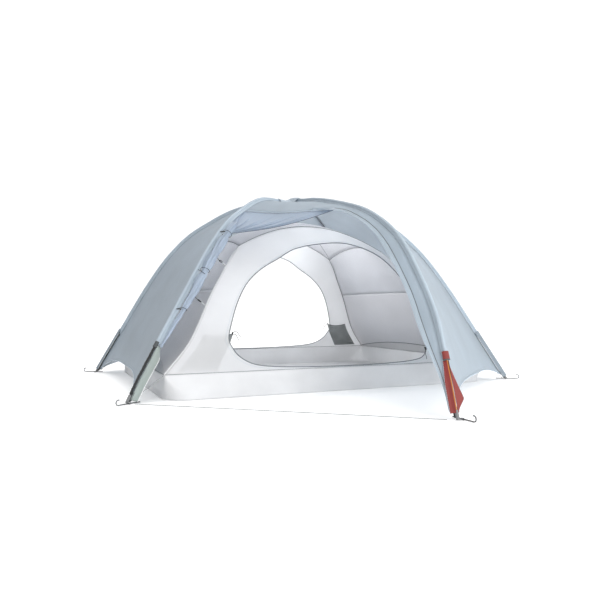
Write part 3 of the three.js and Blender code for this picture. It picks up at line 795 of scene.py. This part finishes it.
# ---- red pole pockets at the porch feet ----
# Two red wings, sewn to the fly, hold the orange pole between them. A red cap closes the sleeve above.
red_cloth = woven("red_pocket_cloth", (0.225, 0.026, 0.021), 0.6, 0.03, mottle=0.14, rib_depth=0.5, shade=0.8)
for name, leg, closed in (("front", front, front_right), ("back", back, back_left)):
    top_w, low_w = leg.height(0.246), leg.height(0.030)
    left, right = [], []
    for j in range(41):
        t = j / 40
        w = top_w + (low_w - top_w) * t
        at, side, up = leg.at(w), leg.side, leg.normal(w)
        full = 0.008 + 0.011 * smooth(t / 0.5)
        section = ((0.0052, 0.0052), (0.0075, 0.003), (0.012, -0.004), (0.010 + full * 0.6, -0.008),
                   (0.008 + full, 0.002 - DROP))
        left.append([at + side * across + up * out for across, out in section])
        over = (toward(leg, closed, max(w, leg.hem)) * 0.4 - side * 0.75).normalized()
        reach = 0.012 + 0.062 * min(t / 0.74, 1) ** 1.15 - 0.050 * smooth((t - 0.74) / 0.26) ** 0.8
        section = ((-0.0052, 0.0052), (-0.0080, 0.002), (-0.0125, -0.005))
        row = [at + side * across + up * out for across, out in section]
        for k in range(1, 9):
            s = k / 8
            row.append(leg.ridge(w) + over * (0.012 + max(0.0, reach - 0.012) * s) + up * 0.0055)
        right.append(row)
    for side_name, rows in (("left", left), ("right", right)):
        wing, area = grid_mesh(f"pocket_{side_name}_{name}", [rows], red_cloth)
        as_cloth(wing,
                 (f"foot_pocket_{name}",) if side_name == "right" else (), thick=0.0011)
        seam_lines.append([row[-1] + up * 0.0012 for row in rows])
    a, z = leg.height(0.250), leg.height(0.284)
    path = [leg.pole(a + (z - a) * k / 12) for k in range(13)]
    cap = rings(path, leg.side, lambda t, turn: 0.0118 + 0.005 * abs(math.cos(turn)) ** 3)
    solid_piece(f"pocket_cap_{name}", [cap], red_cloth)
    # A dark ring round the sleeve's mouth at the cap's lower edge, in the hood's black webbing, is painted
    # shadow under the cap.
    path = [leg.pole(a + (z - a) * k / 40 - 0.0012) for k in range(5)]
    shadowed_mouth = rings(path, leg.side, lambda t, turn: 0.0124 + 0.0052 * abs(math.cos(turn)) ** 3)
    solid_piece(f"pocket_mouth_{name}", [shadowed_mouth], hood_cloth)

# ---- fly door zips ----
# A coil zip runs up the free edge of the strip beside the porch pole. Its slider has a cord pull.
zip_coil = grained("zip_coil", (0.17, 0.19, 0.21), 0.45, "ShaderNodeTexWave", 260, 0.6, 0.0004,
                   ((0.13, 0.15, 0.17), (0.22, 0.24, 0.26)))
for name, main, porch in DOORWAYS:
    rows, coil = [], []
    for j in range(121):
        f = 0.004 + (LIP_PORCH - 0.03) * j / 120
        out = porch.normal(f)
        rows.append([strip_point(main, porch, k, f) + out * 0.0012 for k in (0.80, 0.87, 0.94, 1.0)])
        coil.append(strip_point(main, porch, 0.77, f) + out * 0.0014)
        if j == 0:
            seam_lines += [[], []]
        seam_lines[-2].append(strip_point(main, porch, 0.83, f) + out * 0.0019)
        seam_lines[-1].append(strip_point(main, porch, 0.97, f) + out * 0.0019)
    # The tape takes the sleeves' cloth, so it carries the same painted highlight, lighter than the fly.
    tape, area = grid_mesh(f"zip_tape_{name}", [rows], band_cloth_painted_light)
    as_cloth(tape, thick=0.0006)
    line_object(f"fly_zip_{name}", coil, 0.0018, zip_coil)
    paint_node(f"zip_fly_{name}", toggle_black)
    low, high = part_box(f"zip_fly_{name}")
    grip = (Vector(low) + Vector(high)) / 2
    start, away = grip + porch.normal(0.1) * 0.004, porch.side * 0.004
    pull = [start - UP * (0.004 + 0.0045 * k) + away * math.sin(k * 0.5) for k in range(11)]
    line_object(f"fly_zip_pull_{name}", pull, 0.0012, shock_cord, f"zip_fly_{name}")

# ---- inner tent: tub floor ----
# Heavier coated cloth, turned up on all sides. Each upper corner is pulled out by its cord, while the
# floor's corners stay round, so the cloth creases between them.
tub_cloth = woven("tub_coated_cloth", (0.84, 0.845, 0.855), 0.55, 0.35, rib_depth=0.2, shade=0.96)


def inner_corner(z, inset, clear):
    w = front_right.height(z)
    p, q = front_right.ridge(w), front.ridge(w)
    slope = (p.y - q.y) / p.x
    return Vector((p.x - inset, -p.y + inset * slope - clear * math.hypot(1, slope), z))


FLOOR_X, FLOOR_Y = TUB_X - 0.005, TUB_Y + 0.010


def tub_ring(share, inward=0.0):
    """One level of the tub, from the floor (0) to its top seam (1)."""
    x, y = FLOOR_X + (TUB_X - FLOOR_X) * share - inward, FLOOR_Y + (TUB_Y - FLOOR_Y) * share - inward
    r = 0.125 * (1 - smooth(share)) ** 1.2 + 0.010
    ring = []
    for sx, sy in ((-1, -1), (1, -1), (1, 1), (-1, 1)):
        a0 = {(-1, -1): math.pi, (1, -1): 1.5 * math.pi, (1, 1): 0.0, (-1, 1): 0.5 * math.pi}[(sx, sy)]
        for k in range(13):
            a = a0 + math.pi / 2 * k / 12
            ring.append(Vector((sx * (x - r) + r * math.cos(a), sy * (y - r) + r * math.sin(a), 0)))
    full = []
    for k, p in enumerate(ring):
        full.append(p)
        if k % 13 == 12:
            q = ring[(k + 1) % len(ring)]
            steps = 48 if k // 13 in (0, 2) else 36
            full += [p.lerp(q, i / steps) for i in range(1, steps)]
    return full + [full[0]]


rows = []
for scale in (0.0, 0.25, 0.5, 0.75, 0.9, 0.98):
    row = []
    for p in tub_ring(0):
        row.append(Vector((p.x * scale, p.y * scale, 0.0022 + 0.0035 * max(0, noise.noise(p * scale * 5)))))
    rows.append(row)
for j in range(15):
    share = j / 14
    row = []
    for p in tub_ring(share):
        crease = noise.noise(Vector((p.x * 7, p.y * 7, 2.0))) * 0.6
        crease += noise.noise(Vector((p.x * 21, p.y * 21, share * 3))) * 0.4
        near = math.exp(-((abs(p.x) - TUB_X) ** 2 + (abs(p.y) - TUB_Y) ** 2) / 0.02)
        middle = math.sin(math.pi * share)
        push = -(0.0016 + 0.010 * near) * abs(crease) * middle - 0.006 * middle
        out = Vector((p.x / TUB_X, p.y / TUB_Y, 0))
        out = Vector((out.x if abs(out.x) > 0.93 else 0, out.y if abs(out.y) > 0.93 else 0, 0))
        out = out.normalized() if out.length else out
        row.append(p + out * push + UP * (0.0008 + (TUB_H - 0.0008) * share))
    rows.append(row)
tub, area = grid_mesh("tub", [rows], tub_cloth)
flat_map(tub, Vector((1, 0.35, 0)), Vector((0.15, 1, 0.95)))
as_cloth(tub, ("inner_tub",), thick=0.0009)

# ---- inner tent: walls and roof ----
# Light uncoated cloth lets air and light through. Four curved corner seams carry it; the long walls have
# large D-shaped doors and the short ones a finer mesh above a solid lower half.
INNER_THICK = 0.0006
inner_cloth = woven("inner_polyester", (0.90, 0.905, 0.915), 0.75, 0.55, mottle=0.03, rib=0.004,
                    rib_depth=0.12, sheen=0.25, shade=0.96)
mesh_cloth = woven("inner_mesh", (0.86, 0.86, 0.88), 0.8, 0.6, mottle=0.04, rib=0.0022, rib_depth=0.4,
                   sheen=0.1)
lower_cloth = woven("inner_lower", (0.88, 0.875, 0.89), 0.78, 0.5, mottle=0.03, rib=0.004, rib_depth=0.25)
INSETS = [(0.245, 0.176, 0.107), (0.465, 0.192, 0.148), (0.571, 0.209, 0.178), (0.653, 0.221, 0.204),
          (0.706, 0.236, 0.228)]
KNOTS = [Vector((TUB_X, TUB_Y, TUB_H + 0.0015))]
KNOTS += [inner_corner(share * TOP, x, gap) for share, x, gap in INSETS]
CORNER = curve_through(KNOTS)
ROOF = KNOTS[-1]
RISE_X, RISE_Y, PULL = 0.150, 0.060, 0.055


def corner_at(v):
    k = min(max(v, 0), 1) * (len(CORNER) - 1)
    i = min(int(k), len(CORNER) - 2)
    return CORNER[i].lerp(CORNER[i + 1], k - i)


def long_wall(sign, u, v, push=0.0):
    """The front wall for sign 1; the back wall, half a turn round, for sign -1."""
    p, s = corner_at(v), 2 * u - 1
    bow = (1 - s * s) * v**3
    slack = 0.010 * math.sin(math.pi * v) * (1 - s * s) * noise.noise(Vector((s * 2.2, v * 2.5, 5)))
    return Vector((sign * s * p.x, -sign * (p.y - push - PULL * bow + slack), p.z + RISE_X * bow))


def short_wall(sign, u, v, push=0.0):
    p, s = corner_at(v), 2 * u - 1
    bow = (1 - s * s) * v**3
    slack = 0.012 * math.sin(math.pi * v) * (1 - s * s) * noise.noise(Vector((s * 2.0, v * 2.2, 9)))
    return Vector((sign * (p.x - push + slack), sign * s * p.y, p.z + RISE_Y * bow))


DOOR = [(-0.641, 0.226), (-0.617, 0.137), (-0.56, 0.068), (-0.459, 0.031), (0.478, 0.031), (0.555, 0.068),
        (0.6, 0.158), (0.612, 0.295), (0.6, 0.5), (0.57, 0.7), (0.505, 0.87), (0.42, 0.98), (0.25, 1.06),
        (0.096, 1.06), (-0.144, 0.99), (-0.268, 0.895), (-0.392, 0.795), (-0.488, 0.678), (-0.555, 0.541),
        (-0.612, 0.363)]
WALL_RISE = ROOF.z - TUB_H


def on_wall(x, z):
    """Cloth coordinates of a point of the long wall, from its place across and its height."""
    low, high = 0.0, 1.0
    for _ in range(30):
        v = (low + high) / 2
        p = corner_at(v)
        s = max(-1, min(1, x / p.x))
        if p.z + RISE_X * (1 - s * s) * v**3 < z:
            low = v
        else:
            high = v
    return (s + 1) / 2, v


outline = [Vector((x * TUB_X, 0, TUB_H + z * WALL_RISE)) for x, z in DOOR]
outline = curve_through(outline + outline[:2], 14)
outline = outline[14:-1] + outline[14:15]
outline = even(outline, 180)[:-1]
door_uv = [on_wall(p.x, p.z) for p in outline]
heart = (sum(u for u, v in door_uv) / len(door_uv), sum(v for u, v in door_uv) / len(door_uv))


def to_edge(u, v):
    """Where a ray from the door's middle through (u, v) leaves the wall."""
    du, dv = u - heart[0], v - heart[1]
    reach = min(((1 if d > 0 else 0) - h) / d for d, h in ((du, heart[0]), (dv, heart[1])) if abs(d) > 1e-9)
    return heart[0] + du * reach, heart[1] + dv * reach


edge_uv = [to_edge(u, v) for u, v in door_uv]
for cu, cv in ((0, 0), (1, 0), (1, 1), (0, 1)):
    k = min(range(len(edge_uv)), key=lambda i: (edge_uv[i][0] - cu) ** 2 + (edge_uv[i][1] - cv) ** 2)
    edge_uv[k] = (cu, cv)
for name, sign in WALL_SIGNS:
    rows = []
    for j in range(19):
        t = (j / 18) ** 1.15
        row = []
        for (u0, v0), (u1, v1) in zip(door_uv + door_uv[:1], edge_uv + edge_uv[:1]):
            row.append(long_wall(sign, u0 + (u1 - u0) * t, v0 + (v1 - v0) * t))
        rows.append(row)
    wall, area = grid_mesh(f"wall_{name}", [rows], inner_cloth)
    flat_map(wall, Vector((1, 0, 0)), Vector((0, -0.35, 1)))
    as_cloth(wall,
             (f"inner_wall_{name}",), thick=INNER_THICK)
    around = [long_wall(sign, u, v) for u, v in door_uv + door_uv[:1]]
    fabric_out = Vector((0, -sign, 0.25)).normalized()
    line_object(f"door_zip_{name}", around, 0.0028, zip_coil)
    for push in (0.016, 0.021):
        trim = []
        for (u0, v0), (u1, v1) in zip(door_uv + door_uv[:1], edge_uv + edge_uv[:1]):
            span = math.hypot((u1 - u0) * 2 * TUB_X, (v1 - v0) * 0.85) or 1
            u, v = u0 + (u1 - u0) * push / span, v0 + (v1 - v0) * push / span
            trim.append(long_wall(sign, u, v) + fabric_out * 0.0008)
        seam_lines.append(trim)
for name, sign in (("right", 1), ("left", -1)):
    split = 0.42
    for part, low, high, cloth, slot in (("lower", 0.0, split, lower_cloth, "inner_cloth"),
                                         ("upper", split, 1.0, mesh_cloth, "mesh_cloth")):
        rows = [[short_wall(sign, i / 36, low + (high - low) * j / 20) for i in range(37)] for j in range(21)]
        wall, area = grid_mesh(f"wall_{name}_{part}", [rows], cloth)
        as_cloth(wall, (f"inner_wall_{name}",),
                 thick=INNER_THICK)
    rows = []
    for j in range(7):
        row = []
        for i in range(37):
            s = 2 * i / 36 - 1
            row.append(short_wall(sign, i / 36, (0.002 + 0.085 * (1 - s * s)) * j / 6, 0.0012))
        rows.append(row)
    arch_piece, area = grid_mesh(f"tub_arch_{name}", [rows], tub_cloth)
    as_cloth(arch_piece, thick=0.0030)
    line_object(f"tub_arch_seam_{name}", [p - Vector((sign * 0.003, 0, 0)) for p in rows[-1]], 0.0022,
                braid(f"grey_binding_{name}", (0.27, 0.28, 0.3)))


# Roof: sewn to the tops of the walls, pulled up in the middle, with diagonal seams from its corners.
def roof_point(s, t, under=0.0):
    z = ROOF.z + 0.001 + RISE_X * (1 - s * s) + RISE_Y * (1 - t * t) - under
    return Vector((s * ROOF.x, t * (ROOF.y - PULL * (1 - s * s)), z))


def corner_line(sx, sy, out):
    """A corner seam of the inner tent, moved out from it by a little."""
    return [Vector((sx * (p.x + out), sy * (p.y + out), p.z)) for p in even(CORNER, 60)]


rows = [[roof_point(2 * i / 32 - 1, 2 * j / 32 - 1) for i in range(33)] for j in range(33)]
roof, area = grid_mesh("roof", [rows], mesh_cloth)
as_cloth(roof, ("inner_roof",),
         thick=INNER_THICK)
grey_binding = braid("grey_seam_binding", (0.30, 0.31, 0.33))
white_piping = braid("white_piping", (0.86, 0.87, 0.88), 0.003)
for name, sx, sy in CORNERS:
    line_object(f"corner_piping_{name}", corner_line(sx, sy, 0.0015), 0.0026, white_piping)
    diagonal = [roof_point(sx * k / 24, sy * k / 24, 0.002) for k in range(3, 25)]
    line_object(f"roof_seam_{name}", diagonal, 0.0012, grey_binding)
    line_object(f"corner_seam_{name}", corner_line(sx, sy, -0.004), 0.0015, grey_binding)
top_line = [roof_point(-1 + k / 16, -1) for k in range(33)]
top_line += [roof_point(1, -1 + k / 16) for k in range(1, 33)]
top_line += [roof_point(1 - k / 16, 1) for k in range(1, 33)]
top_line += [roof_point(-1, 1 - k / 16) for k in range(1, 33)]
line_object("roof_edge_seam", top_line, 0.0016, grey_binding)
tub_line = [p + UP * (TUB_H + 0.001) for p in tub_ring(1)]
line_object("tub_top_seam", tub_line, 0.0014, grey_binding)

# ---- inner tent: clips to the poles ----
# Short webbing tabs sewn into the corner seams hold the inner tent up. Each has a black hook and a loop of
# shock cord round the pole.
for name, sx, sy in CORNERS:
    leg = LEGS[name]
    for level, v in (("low", 0.34), ("mid", 0.66)):
        c = corner_at(v)
        seam = Vector((sx * (c.x + 0.003), sy * (c.y + 0.003), c.z))
        w = min(leg.height(c.z + 0.09), 0.97)
        hold = leg.ridge(w) - leg.normal(w) * 0.004
        pull = (hold - seam).normalized()
        across = pull.cross(UP).normalized()
        rows = []
        for j in range(7):
            rows.append([seam + pull * 0.034 * j / 6 + across * s for s in (-0.008, -0.003, 0.003, 0.008)])
        tab, area = grid_mesh(f"clip_tab_{level}_{name}", [rows], edge_tape)
        as_cloth(tab, thick=0.0012)
        hook = seam + pull * 0.036
        loop = [hook + pull * 0.011 * (1 - math.cos(a)) + across * 0.008 * math.sin(a)
                for a in (2 * math.pi * k / 20 for k in range(19))]
        line_object(f"clip_hook_{level}_{name}", loop, 0.0020, toggle_black)
        cord_path = [hook.lerp(hold, k / 10) + across * 0.004 * math.sin(k * 0.9) for k in range(1, 11)]
        line_object(f"clip_cord_{level}_{name}", cord_path, 0.0012, shock_cord)

# ---- inner doors, rolled back ----
# Each inner door is rolled towards the far edge of its doorway and tied with two small loops.
ROLL = [(0.63, 0.09), (0.655, 0.25), (0.65, 0.42), (0.625, 0.58), (0.59, 0.72), (0.53, 0.86)]
ROLL_TIES = (0.3, 0.72)


def rolled(t, turn):
    """Radius of a rolled inner door, drawn in at its two ties."""
    folded = 1 + 0.14 * math.sin(4 * turn + 9 * t) + 0.08 * math.sin(7 * turn - 15 * t)
    low, high = (0.35 * math.exp(-((t - tie) / 0.03) ** 2) for tie in ROLL_TIES)
    return (0.008 + 0.011 * math.sin(math.pi * t)) * folded * (1 - low - high)


roll_line = even(curve_through([Vector((x * TUB_X, 0, TUB_H + z * WALL_RISE)) for x, z in ROLL]), 80)
for name, sign in WALL_SIGNS:
    path = []
    for p in roll_line:
        u, v = on_wall(p.x, p.z)
        path.append(long_wall(sign, u, v) + Vector((0, -sign * 0.026, 0.004)))
    roll = rings(path, Vector((0, 1, 0)), rolled, 32)
    solid_piece(f"inner_door_{name}", [roll], inner_cloth, (f"inner_door_roll_{name}",))
    for k, share in enumerate(ROLL_TIES):
        centre = path[int(share * 80)]
        loop = [centre + Vector((math.cos(a) * 0.017, math.sin(a) * 0.017, 0.006 * math.sin(2 * a)))
                for a in (2 * math.pi * i / 24 for i in range(23))]
        line_object(f"inner_door_tie_{k}_{name}", loop, 0.0016, grey_binding)

# ---- stash pockets and inner zip pulls ----
# Grey mesh pockets hang inside beside each doorway. The door zip has two sliders with cord pulls.
net_cloth = woven("pocket_mesh", (0.50, 0.52, 0.52), 0.8, 0.6, rib=0.0016, rib_depth=0.8, mottle=0.3)
for name, sign in WALL_SIGNS:
    rows = []
    for j in range(17):
        v = 0.015 + 0.215 * j / 16
        rows.append([])
        for i in range(25):
            s = i / 24
            belly = 0.004 + 0.020 * math.sin(math.pi * s) * math.sin(math.pi * min(1, 0.15 + j / 16 * 0.85))
            sag = 0.012 * math.sin(math.pi * s) * (j / 16) ** 2
            rows[-1].append(long_wall(sign, 0.032 + 0.098 * s, v, belly) - UP * sag)
    pocket, area = grid_mesh(f"stash_{name}", [rows], net_cloth)
    as_cloth(pocket, (f"stash_pocket_{name}",))
    line_object(f"stash_hem_{name}", rows[-1], 0.0022, hood_cloth)
    paint_node(f"zip_inner_{name}", toggle_black)
    low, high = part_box(f"zip_inner_{name}")
    grip = (Vector(low) + Vector(high)) / 2
    for k, (dx, drop) in enumerate(((0.016, 0.012), (0.012, 0.020))):
        start = grip + Vector((sign * 0.004, -sign * 0.004, 0.004 - 0.014 * k))
        pull = []
        for i in range(10):
            z = -drop * (i / 8) ** 1.6 + 0.008 * math.sin(i * 0.5)
            pull.append(start + Vector((sign * dx * i / 4, -sign * 0.002 * i, z)))
        line_object(f"inner_zip_pull_{k}_{name}", pull, 0.0013, shock_cord,
                    f"zip_inner_{name}")

# ---- hem bindings and stitching ----
# Every free edge of the fly is bound with narrow tape, and the seams are sewn with matching thread.
hem_tape = woven("hem_tape", (0.46, 0.54, 0.62), 0.55, 0, rib=0.002, rib_depth=0.5)
for name, a, b, rise in CLOSED_BAYS:
    hem, above = [], []
    for i in range(61):
        u = 0.008 + 0.984 * i / 60
        low = rise * hem_arc(u)
        hem.append(bay_point(a, b, u, low))
        higher = bay_point(a, b, u, low + 0.006)
        inward = a.normal(low).lerp(b.normal(low), u).normalized()
        above.append(higher + inward * 0.0010)
    line_object(f"hem_{name}", hem, 0.0022, hem_tape)
    seam_lines.append(above)
for name, main, porch in DOORWAYS:
    lip = [canopy_point(main, porch, 0.02 + 0.80 * i / 40, 0) for i in range(41)]
    line_object(f"lip_{name}", lip, 0.0026, hem_tape)
    edge = [strip_point(main, porch, 1.0, 0.004 + (LIP_PORCH - 0.01) * i / 80) for i in range(81)]
    line_object(f"strip_edge_{name}", edge, 0.0016, hem_tape)

thread = grained("thread", (0.66, 0.72, 0.78), 0.6, "ShaderNodeTexWave", 900, 0.5, 0.0002)

tree = bpy.data.node_groups.new("stitches", "GeometryNodeTree")
tree.interface.new_socket("Geometry", in_out="INPUT", socket_type="NodeSocketGeometry")
pitch_in = tree.interface.new_socket("Pitch", in_out="INPUT", socket_type="NodeSocketFloat")
long_in = tree.interface.new_socket("Stitch length", in_out="INPUT", socket_type="NodeSocketFloat")
wide_in = tree.interface.new_socket("Thread width", in_out="INPUT", socket_type="NodeSocketFloat")
mat_in = tree.interface.new_socket("Thread", in_out="INPUT", socket_type="NodeSocketMaterial")
tree.interface.new_socket("Geometry", in_out="OUTPUT", socket_type="NodeSocketGeometry")
gn, gl = tree.nodes, tree.links
inputs, outputs = gn.new("NodeGroupInput"), gn.new("NodeGroupOutput")
spaced = gn.new("GeometryNodeResampleCurve")
spaced.mode = "LENGTH"
gl.new(inputs.outputs["Geometry"], spaced.inputs["Curve"])
gl.new(inputs.outputs["Pitch"], spaced.inputs["Length"])
one_stitch = gn.new("GeometryNodeMeshCube")
size = gn.new("ShaderNodeCombineXYZ")
gl.new(inputs.outputs["Thread width"], size.inputs["X"])
gl.new(inputs.outputs["Thread width"], size.inputs["Y"])
gl.new(inputs.outputs["Stitch length"], size.inputs["Z"])
gl.new(size.outputs[0], one_stitch.inputs["Size"])
along = gn.new("GeometryNodeInputTangent")
turned = gn.new("FunctionNodeAlignRotationToVector")
turned.axis = "Z"
gl.new(along.outputs[0], turned.inputs["Vector"])
placed = gn.new("GeometryNodeInstanceOnPoints")
gl.new(spaced.outputs["Curve"], placed.inputs["Points"])
gl.new(one_stitch.outputs["Mesh"], placed.inputs["Instance"])
gl.new(turned.outputs[0], placed.inputs["Rotation"])
real = gn.new("GeometryNodeRealizeInstances")
gl.new(placed.outputs[0], real.inputs[0])
coat = gn.new("GeometryNodeSetMaterial")
gl.new(real.outputs[0], coat.inputs["Geometry"])
gl.new(inputs.outputs["Thread"], coat.inputs["Material"])
gl.new(coat.outputs[0], outputs.inputs[0])

seam_curves = bpy.data.curves.new("seams", "CURVE")
seam_curves.dimensions = "3D"
for points in seam_lines:
    add_spline(seam_curves, points)
guide = bpy.data.objects.new("seams", seam_curves)
into_scene(guide)
sewing = guide.modifiers.new("stitches", "NODES")
sewing.node_group = tree
for setting, metres in ((pitch_in, 0.0075), (long_in, 0.0050), (wide_in, 0.0009)):
    sewing[setting.identifier] = metres
sewing[mat_in.identifier] = thread
done = bpy.data.meshes.new_from_object(guide.evaluated_get(bpy.context.evaluated_depsgraph_get()))
bpy.data.objects.remove(guide)
stitches = bpy.data.objects.new("stitching", done)
into_scene(stitches)
if not done.materials:
    done.materials.append(thread)
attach(stitches, "tent")

# ---- floor and light ----
# A plain pale floor under three soft lamps, with a small one inside the tent. The surroundings are brighter
# to the right, and plain white where the camera sees them.
floor_mesh = bpy.data.meshes.new("floor")
floor_mesh.from_pydata([(-30, -30, 0), (30, -30, 0), (30, 30, 0), (-30, 30, 0)], [], [(0, 1, 2, 3)])
floor_paint, n, l, b = material("floor_paint", (0.93, 0.93, 0.93), 0.8)
b.inputs["Emission Color"].default_value, b.inputs["Emission Strength"].default_value = (1, 1, 1, 1), 0.22
floor_mesh.materials.append(floor_paint)
floor = bpy.data.objects.new("floor", floor_mesh)
into_scene(floor)
world = bpy.data.worlds.new("studio")
world.use_nodes = True
n, l = world.node_tree.nodes, world.node_tree.links
sky = n.new("ShaderNodeTexCoord")
facing = n.new("ShaderNodeVectorMath")
facing.operation = "DOT_PRODUCT"
facing.inputs[1].default_value = (0.95, 0.1, 0.3)
l.new(sky.outputs["Generated"], facing.inputs[0])
shade = n.new("ShaderNodeMapRange")
shade.inputs["From Min"].default_value, shade.inputs["From Max"].default_value = -0.9, -0.05
shade.inputs["To Min"].default_value, shade.inputs["To Max"].default_value = 0.3, 1.1
l.new(facing.outputs["Value"], shade.inputs["Value"])
path_kind = n.new("ShaderNodeLightPath")
plain = n.new("ShaderNodeMath")
plain.operation = "MAXIMUM"
l.new(shade.outputs[0], plain.inputs[0])
l.new(path_kind.outputs["Is Camera Ray"], plain.inputs[1])
l.new(plain.outputs[0], n["Background"].inputs["Strength"])
n["Background"].inputs["Color"].default_value = (1, 1, 1, 1)
bpy.context.scene.world = world
LAMPS = (("ceiling", (1.0, 0.5, 7.0), 9.0, 130), ("key", (5.0, -3.0, 4.5), 3.5, 60),
         ("front", (0.4, -6.6, 1.2), 2.6, 140))
for name, place, across, power in LAMPS:
    lamp = bpy.data.lights.new(name, "AREA")
    lamp.size, lamp.energy = across, power
    light = bpy.data.objects.new(name, lamp)
    light.location = place
    light.rotation_euler = (Vector((0, 0, 0.5)) - Vector(place)).to_track_quat("-Z", "Y").to_euler()
    into_scene(light)
inside = bpy.data.lights.new("inside", "POINT")
inside.energy, inside.shadow_soft_size = 13, 0.3
glow = bpy.data.objects.new("inside", inside)
glow.location, glow.visible_camera = (0.05, 0.0, 0.72), False
into_scene(glow)
bpy.context.scene.view_settings.view_transform = "Standard"
